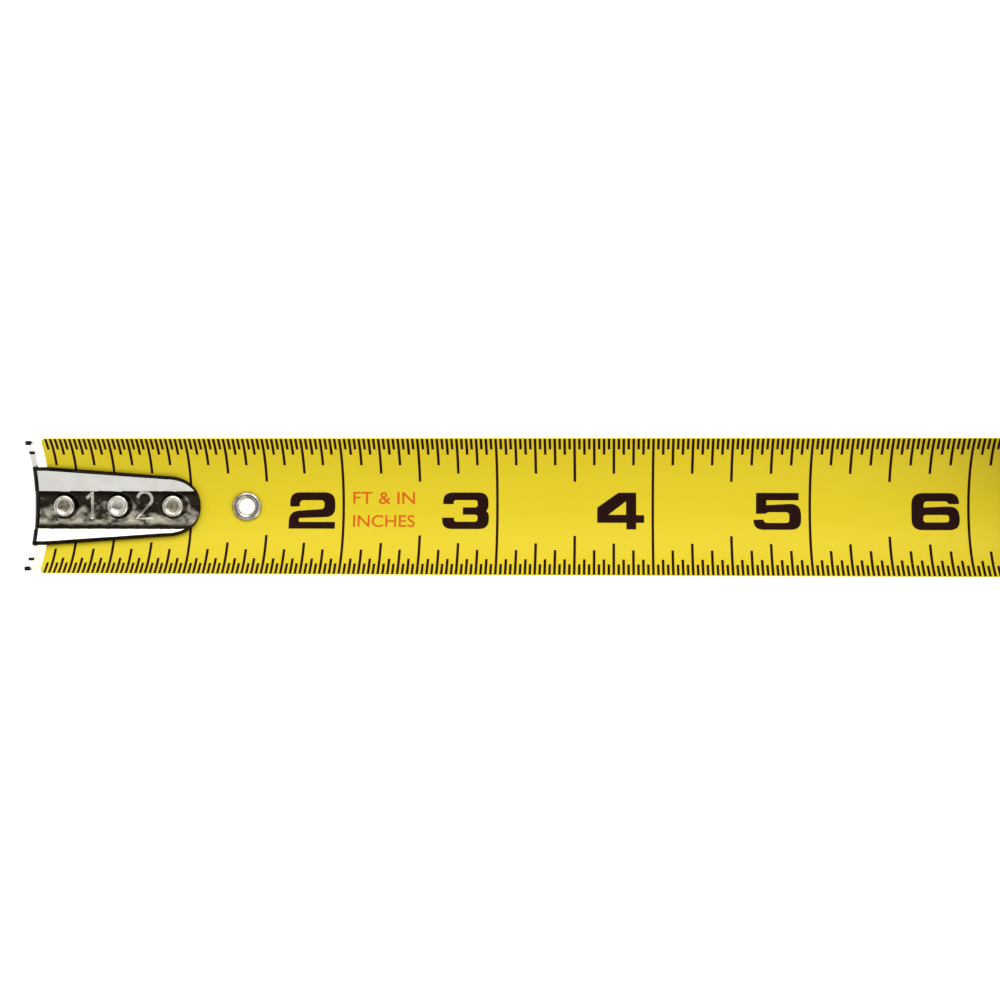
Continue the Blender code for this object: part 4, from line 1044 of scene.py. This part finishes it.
def make_case():
    """Two moulded halves with a fine chamfered joint, the mouth, the lock's slot and recesses."""
    half_arc = BLADE_HALF * MM / CUP_RADIUS
    blade_edges = BLADE_LEVEL + CUP_RADIUS * (1 - math.cos(half_arc))
    mouth_half = CUP_RADIUS * math.sin(half_arc) + MOUTH_SIDE
    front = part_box("case_left")[0].x
    mouth_low = (front - BEYOND, -mouth_half, MOUTH_FLOOR)
    mouth_high = (front + WALL + 0.5 * MM, mouth_half, blade_edges + MOUTH_TOP)
    for name, side in (("case_left", -1), ("case_right", 1)):
        bm = cut(
            shell(side, 0, HALVES_GAP / 2, CASE_CHAMFER),
            shell(side, -WALL, -BEYOND),
            soft_box(mouth_low, mouth_high),
            slope_box(*LOCK_SLOT),
        )
        if side < 0:
            bm = cut(bm, *left_recesses())
        case = add_object(f"{name}_shell", bm, CASE_PLASTIC, smooth=35)
        place_piece(case, "case", "case_plastic", name)


def left_recesses():
    """Cutters for the badge's seat and the screws' recesses."""
    face = -CASE_HALF_WIDTH
    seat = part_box("badge_disc")[1].x - AXIS.x + 0.3 * MM
    yield cylinder(seat, face - BEYOND, face + BADGE_SINK, AXIS, 96)
    for centre in screw_centres():
        yield cylinder(SCREW_RECESS, face - BEYOND, face + 2 * MM, centre, 32)


def make_badge():
    """A turned disc and the raised bezel round it."""
    low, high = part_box("badge_disc")
    radius, depth = (high.x - low.x) / 2, high.y - low.y
    groove = depth - 0.2 * MM
    profile = [
        (0, 0), (radius, 0), (radius, depth - 0.25 * MM), (radius - 0.25 * MM, depth),
        (radius - 1.2 * MM, depth), (radius - 1.35 * MM, groove),
        (radius - 1.6 * MM, groove), (radius - 1.75 * MM, depth), (0, depth),
    ]
    disc = facing_left(turned(profile, 128), high.y)
    place_piece(add_object("badge", disc, BADGE_METAL), "case", "badge_metal", "badge_disc")
    inner, outer = radius + 0.5 * MM, radius + 2.3 * MM
    bezel = arc((inner + outer) / 2, 0, (outer - inner) / 2, 0.8 * MM, 0, 180, 10)
    bezel += [(inner, -0.2 * MM), (outer, -0.2 * MM)]
    bm = facing_left(turned(bezel, 128), -CASE_HALF_WIDTH)
    place_piece(add_object("badge_bezel", bm, CASE_PLASTIC), "case", "case_plastic")


def facing_left(bm, y):
    """Turns a shape made round Z so that its top faces -Y, round the drum's axis."""
    bm.transform(Matrix.Translation((AXIS.x, y, AXIS.y)) @ Matrix.Rotation(math.pi / 2, 4, "X"))
    return bm


def make_grips():
    """The ribbed rubber skin over the back and the top of both halves."""
    crown = CASE_CORNERS[3][0]
    region = [
        Vector((AXIS.x + 15 * MM, GRIP_FLOOR)),
        Vector((FAR_OFF, GRIP_FLOOR)),
        Vector((FAR_OFF, FAR_OFF)),
        Vector((crown.x - 1 * MM, FAR_OFF)),
        crown + Vector((4 * MM, 0)),
        crown + Vector((10 * MM, -13 * MM)),
    ]
    window = [point for point, _, _ in case_outline(-GRIP_RIM)]
    seat = -CASE_HALF_WIDTH + 2 * MM
    for name, side in (("grip_left", -1), ("grip_right", 1)):
        ends = sorted((-side * BEYOND, side * PAST_SIDE))
        window_ends = sorted((side * (CASE_HALF_WIDTH - 3 * MM), side * PAST_SIDE))
        bm = shell(side, GRIP_THICKNESS, HALVES_GAP / 2, GRIP_CHAMFER, GRIP_GROOVE)
        bm = cut(bm, shell(side, GRIP_SEAT, -BEYOND), prism(window, *window_ends))
        if side < 0:
            bm = cut(bm, cylinder(3.1 * MM, -PAST_SIDE, seat, screw_centres()[1]))
        bm = combined(bm, prism(region, *ends), "INTERSECT")
        grip = add_object(f"{name}_skin", bm, GRIP_RUBBER)
        place_piece(grip, "case", "grip_rubber", name)


def make_screw(name, node, radius, side):
    """A pan head with a six-sided socket, facing that side along Y."""
    low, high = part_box(node)
    length = high.y - low.y
    shank = radius * 0.5
    profile = [
        (0, length), (radius * 0.7, length), (radius * 0.88, length - 0.15 * MM),
        (radius, length - 0.5 * MM), (radius, length - 1.4 * MM), (shank, length - 1.45 * MM),
        (shank, 0.6 * MM), (radius * 0.3, 0), (0, 0),
    ]
    socket = rod(shank, 2 * MM, 6)
    bmesh.ops.translate(socket, vec=(0, 0, length + 0.1 * MM), verts=socket.verts)
    bm = cut(turned(profile, 40), socket)
    middle = middle_of(node)
    back = low.y if side > 0 else high.y
    turn = Matrix.Rotation(math.radians(-90 * side), 4, "X")
    bm.transform(Matrix.Translation((middle.x, back, middle.z)) @ turn)
    place_piece(add_object(name, bm, SCREW_STEEL), "case", "screw_steel", node)


def make_screws():
    for k in range(1, 5):
        make_screw(f"screw_{k}", f"case_screw_{k}", SCREW_RADIUS, -1)
    make_screw("clip_screw_head", "clip_screw", CLIP_SCREW_RADIUS, 1)


def make_lock():
    """The thumb pad, rounded and ribbed, its neck through the slot, and the plate inside."""
    bm = join(slope_box(*LOCK_PAD), slope_box(*LOCK_NECK), slope_box(*LOCK_PLATE))
    for k in range(LOCK_RIBS):
        shift = ((LOCK_RIBS - 1) / 2 - k) * LOCK_RIB_PITCH
        bm = join(bm, slope_box(*LOCK_RIB, shift))
    lock = add_object("lock_pad", bm, LOCK_PLASTIC, smooth=50)
    place_piece(lock, "lock", "lock_plastic", "lock_slider")


def clip_path():
    """The strip's centre line in the YZ plane: up the case, over the bend, down, in and out."""
    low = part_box("belt_clip_mount")[0]
    mount_y = low.y + CLIP_THICKNESS / 2
    arm_y = mount_y + 2 * CLIP_BEND
    points = [Vector((mount_y, low.z + (CLIP_TOP - low.z) * k / 10)) for k in range(10)]
    points += arc(mount_y + CLIP_BEND, CLIP_TOP, CLIP_BEND, CLIP_BEND, 180, 0, 24)
    points += [Vector((arm_y, CLIP_TOP - CLIP_STRAIGHT * k / 12)) for k in range(1, 13)]
    steps = 16
    for k in range(1, steps + 1):
        t = k / steps
        inward = 0.75 * MM * math.sin(math.pi * min(1, t * 1.25))
        flare = 2.2 * MM * ease(t, 0.55, 1.15)
        height = CLIP_TOP - CLIP_STRAIGHT - CLIP_FOOT * t
        points.append(Vector((arm_y - inward + flare, height)))
    return points


def clip_section(middle_x, point, ahead, end):
    """The strip's section, narrower within a corner's length of the end of its path."""
    normal = Vector((ahead.y, -ahead.x)).normalized()
    short = max(0.0, CLIP_CORNER - end) / CLIP_CORNER
    half = CLIP_HALF - CLIP_CORNER * (1 - math.sqrt(max(0.0, 1 - short**2)))
    deep = CLIP_THICKNESS / 2
    corners = ((-half, -deep), (half, -deep), (half, deep), (-half, deep))
    section = rounded([(x, y, CLIP_EDGE) for x, y in corners], 3)
    return [(middle_x + p.x, point.x + normal.x * p.y, point.y + normal.y * p.y) for p in section]


def make_clip():
    """One bent strip from the case to the springing arm, with a rounded end and a hole."""
    path = clip_path()
    lengths = [0.0]
    for a, b in zip(path, path[1:]):
        lengths.append(lengths[-1] + (b - a).length)
    middle_x = middle_of("belt_clip_arm").x
    rings = []
    for k, point in enumerate(path):
        ahead = path[min(k + 1, len(path) - 1)] - path[max(k - 1, 0)]
        end = min(lengths[k], lengths[-1] - lengths[k])
        rings.append(clip_section(middle_x, point, ahead, end))
    centre = middle_of("clip_screw").xz
    hole = cylinder(1.9 * MM, CASE_HALF_WIDTH, CASE_HALF_WIDTH + 3 * MM, centre, 32)
    clip = add_object("belt_clip", cut(loft(rings), hole), CLIP_STEEL, smooth=50)
    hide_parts("belt_clip_mount", "belt_clip_arm")
    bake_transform(clip)


def finish_cad_nodes():
    """Materials and soft edges for the inner pieces, which keep their CAD shapes."""
    finishes = (
        (DRUM_PLASTIC, 0.2, ("drum", "drum_cover")),
        (CASE_PLASTIC, 0.2, ("mouth_guide", "lock_strap")),
        (GRIP_RUBBER, 0.3, ("hook_bumper", "brake_shoe")),
        (WASHER_PLASTIC, 0.08, ("thrust_washer_left", "thrust_washer_right")),
        (SPRING_STEEL, 0.0, ("mainspring", "lock_detent_spring")),
        (SCREW_STEEL, 0.3, ("centre_post",)),
        (PAINT, 0.1, ("blade_coil",)),
    )
    for material, width, names in finishes:
        for name in names:
            node = NODES[name]
            node.data.materials.clear()
            node.data.materials.append(material)
            weld = node.modifiers.new("weld", "WELD")
            weld.merge_threshold = 0.001 * MM
            if width:
                bevel(node, width * MM, 50)
            node.data.shade_smooth()
            node.data.set_sharp_from_angle(angle=math.radians(35))


# ---- print


SOFT = 0.12  # the slight rounding of a figure's sharp corner
FIGURES = {  # (x, y, reach of the rounding) round a wide, bold figure, then round its hole
    2: [[
        (0.2, 3.7, SOFT), (0.2, 6.05, 1.7), (7.7, 6.05, 1.7), (7.7, 2.0, 1.6),
        (1.65, 1.8, 0.3), (1.65, 1.14, 0.3), (7.7, 1.14, SOFT), (7.7, 0, SOFT),
        (0, 0, SOFT), (0, 2.9, 1.7), (5.9, 3.3, 0.6), (5.9, 4.75, 0.6),
        (1.8, 4.75, 0.7), (1.8, 3.7, SOFT),
    ]],
    3: [[
        (0.17, 4.13, SOFT), (0.17, 6.05, 1.6), (7.63, 6.05, 1.6), (7.63, 3.45, 0.5),
        (7.25, 3.02, 0.1), (7.7, 2.6, 0.5), (7.7, 0, 1.6), (0, 0, 1.6), (0, 1.9, SOFT),
        (1.95, 1.9, SOFT), (1.95, 1.22, 0.5), (5.85, 1.22, 0.6), (5.85, 2.4, 0.5),
        (3.4, 2.4, SOFT), (3.4, 3.6, SOFT), (5.85, 3.6, 0.5), (5.85, 4.8, 0.5),
        (1.9, 4.8, 0.45), (1.9, 4.13, SOFT),
    ]],
    4: [[
        (0.05, 1.1, SOFT), (4.8, 1.1, 0.05), (4.8, 0, SOFT), (6.4, 0, SOFT),
        (6.4, 1.1, 0.05), (7.7, 1.1, SOFT), (7.7, 2.37, SOFT), (6.4, 2.37, 0.05),
        (6.4, 6.05, SOFT), (3.5, 6.05, SOFT), (0.05, 3.6, SOFT),
    ], [(1.85, 2.42, 0.08), (4.75, 2.42, 0.08), (4.75, 4.65, 0.08)]],
    5: [[
        (0.43, 6.05, SOFT), (7.3, 6.05, SOFT), (7.3, 4.84, SOFT), (2.1, 4.84, 0.05),
        (2.1, 4.05, 0.05), (7.7, 4.35, 1.9), (7.7, 0, 1.7), (0, 0, 1.6), (0, 1.65, SOFT),
        (1.6, 1.7, SOFT), (1.75, 1.14, 0.5), (5.8, 1.14, 0.6), (5.8, 2.9, 0.6),
        (2.25, 2.9, 0.4), (2.0, 2.65, 0.1), (0.43, 2.62, SOFT),
    ]],
    6: [[
        (5.95, 4.26, SOFT), (7.6, 4.26, SOFT), (7.6, 6.05, 1.7), (0, 6.05, 1.8),
        (0, 0, 1.7), (7.7, 0, 1.7), (7.7, 3.95, 1.9), (1.95, 3.7, 0.1),
        (1.95, 4.7, 0.6), (5.7, 4.7, 0.4),
    ], [(1.9, 1.28, 0.5), (6.0, 1.28, 0.5), (6.0, 2.5, 0.5), (1.9, 2.5, 0.5)]],
}


def make_figure(figure):
    left = figure * INCH - FIGURE_TO_LINE - FIGURE_WIDTH
    low = FIGURE_MIDDLE - FIGURE_HEIGHT / 2
    outlines = [
        [point + Vector((left, low)) for point in rounded(corners)] for corners in FIGURES[figure]
    ]
    return flat_solid(outlines, INK_BOTTOM, INK_TOP)


def tick_depths(step):
    """How far in from each edge the mark at that 32nd of an inch reaches, and its width."""
    for spacing, upper, lower, width in TICKS:
        if step % round(32 * spacing) == 0:
            return upper, lower, width


def make_ticks(first, last):
    """Marks at every 32nd of an inch on both edges, and whole lines at the inches."""
    parts = []
    for step in range(first, last + 1):
        at = step / 32 * INCH
        if step % 32 == 0:
            half = INCH_LINE_WIDTH / 2
            reaches = [(-BLADE_HALF, BLADE_HALF)]
        else:
            upper, lower, width = tick_depths(step)
            half = width / 2
            reaches = [(BLADE_HALF - upper, BLADE_HALF), (-BLADE_HALF, lower - BLADE_HALF)]
        for low, high in reaches:
            parts.append(flat_box((at - half, low, INK_BOTTOM), (at + half, high, INK_TOP)))
    return parts


def make_legend():
    """The two rows that name the scale's units."""
    parts = []
    for words, middle in LEGEND_ROWS:
        text = bpy.data.curves.new("legend", "FONT")
        text.body = words
        text.size = 1.0
        text.extrude = 0.01
        text.offset = 0.005
        bm = bmesh_of(linked("legend", text))
        columns = [[vert.co[axis] for vert in bm.verts] for axis in (0, 1)]
        low = Vector((*map(min, columns), 0))
        high = Vector((*map(max, columns), 0))
        bmesh.ops.remove_doubles(bm, verts=bm.verts, dist=1e-5)
        wide = (LEGEND_END - LEGEND_START) / (high.x - low.x)
        tall = LEGEND_HEIGHT / (high.y - low.y)
        thick = (INK_TOP - INK_BOTTOM) / (2 * text.extrude)
        lift = (INK_TOP + INK_BOTTOM) / 2
        place = Matrix.Translation((LEGEND_START, middle - LEGEND_HEIGHT / 2, lift))
        bm.transform(place @ Matrix.Diagonal((wide, tall, thick, 1)) @ Matrix.Translation(-low))
        parts.append(bm)
    return merged(*parts)


def make_print():
    """Print moves with the stretch of blade it is on; the two-inch line hides the joint."""
    first = math.ceil(TIP_START / INCH * 32)
    tip_marks = merged(*make_ticks(first + 1, 2 * 32 - 1), make_figure(2))
    tip = add_object("tip_print", bend_on_cup(tip_marks), INK)
    place_piece(tip, "blade", "blade_yellow")
    span_marks = merged(
        *make_ticks(2 * 32, round(PRINT_END * 32)), *(make_figure(k) for k in (3, 4, 5, 6))
    )
    span = add_object("span_print", bend_on_cup(span_marks), INK)
    legend = add_object("span_legend", bend_on_cup(make_legend()), LEGEND_INK)
    for obj in (span, legend):
        place_piece(obj, "case", "blade_yellow")
        gather_in(obj)


# ---- stage


def make_stage():
    """A plain white floor, soft light, and a dark card that only reflections see."""
    look = Finish("floor", 0.8)
    look.set("Base Color", (0.9, 0.9, 0.9, 1))
    look.set("Emission Color", (1, 1, 1, 1)).set("Emission Strength", 0.5)
    bm = bmesh.new()
    bmesh.ops.create_grid(bm, x_segments=1, y_segments=1, size=40)
    floor = add_object("floor", bm, look.material)
    card_look = Finish("card", 0.9)
    card_look.set("Base Color", (0.01, 0.01, 0.01, 1))
    bm = bmesh.new()
    bmesh.ops.create_grid(bm, x_segments=1, y_segments=1, size=0.5)
    bmesh.ops.scale(bm, vec=(0.5, 0.1, 1), verts=bm.verts)
    bmesh.ops.translate(bm, vec=(ZERO_X - 0.05, 0.04, 0.45), verts=bm.verts)
    card = add_object("card", bm, card_look.material)
    for seen in ("camera", "diffuse", "transmission", "shadow", "volume_scatter"):
        setattr(card, f"visible_{seen}", False)

    world = bpy.data.worlds.new("studio")
    world.use_nodes = True
    background = world.node_tree.nodes["Background"]
    background.inputs["Color"].default_value = (1, 1, 1, 1)
    background.inputs["Strength"].default_value = 0.78
    bpy.context.scene.world = world
    add_light("softbox", (-0.1, 0.55, 0.5), 0.7, 3.0)
    add_light("fill", (0.35, -0.5, 0.4), 0.5, 1.6)


def add_light(name, place, size, power):
    light = bpy.data.lights.new(name, "AREA")
    light.size = size
    light.energy = power
    obj = linked(name, light)
    obj.location = place
    aim = Vector((-0.08, 0, 0.01)) - Vector(place)
    obj.rotation_euler = aim.to_track_quat("-Z", "Y").to_euler()


def make_camera():
    """Nearly straight down on the drawn-out blade."""
    data = bpy.data.cameras.new("camera")
    data.sensor_width = 36
    data.lens = 64.8
    data.clip_start = 0.01
    camera = linked("camera", data)
    camera.location = (ZERO_X + 94.57 * MM, -3.89 * MM, BLADE_LEVEL + 294.73 * MM)
    camera.rotation_euler = (0.0172, 0.0608, 0.0025)
    bpy.context.scene.camera = camera
    bpy.context.scene.view_settings.view_transform = "Standard"


CASE_CORNERS = case_corners()
# How far down the slope from the crown the lock's middle is
LOCK_S = (CASE_CORNERS[4][0] - CASE_CORNERS[3][0]).length - LOCK_FROM_BROW

make_camera()
make_stage()
make_tip()
span = make_span()
place_piece(span, "case", "blade_yellow", "blade_span")
gather_in(span)
make_print()
make_hook()
make_rivets()
make_eyelet()
make_case()
make_badge()
make_grips()
make_screws()
make_lock()
make_clip()
finish_cad_nodes()
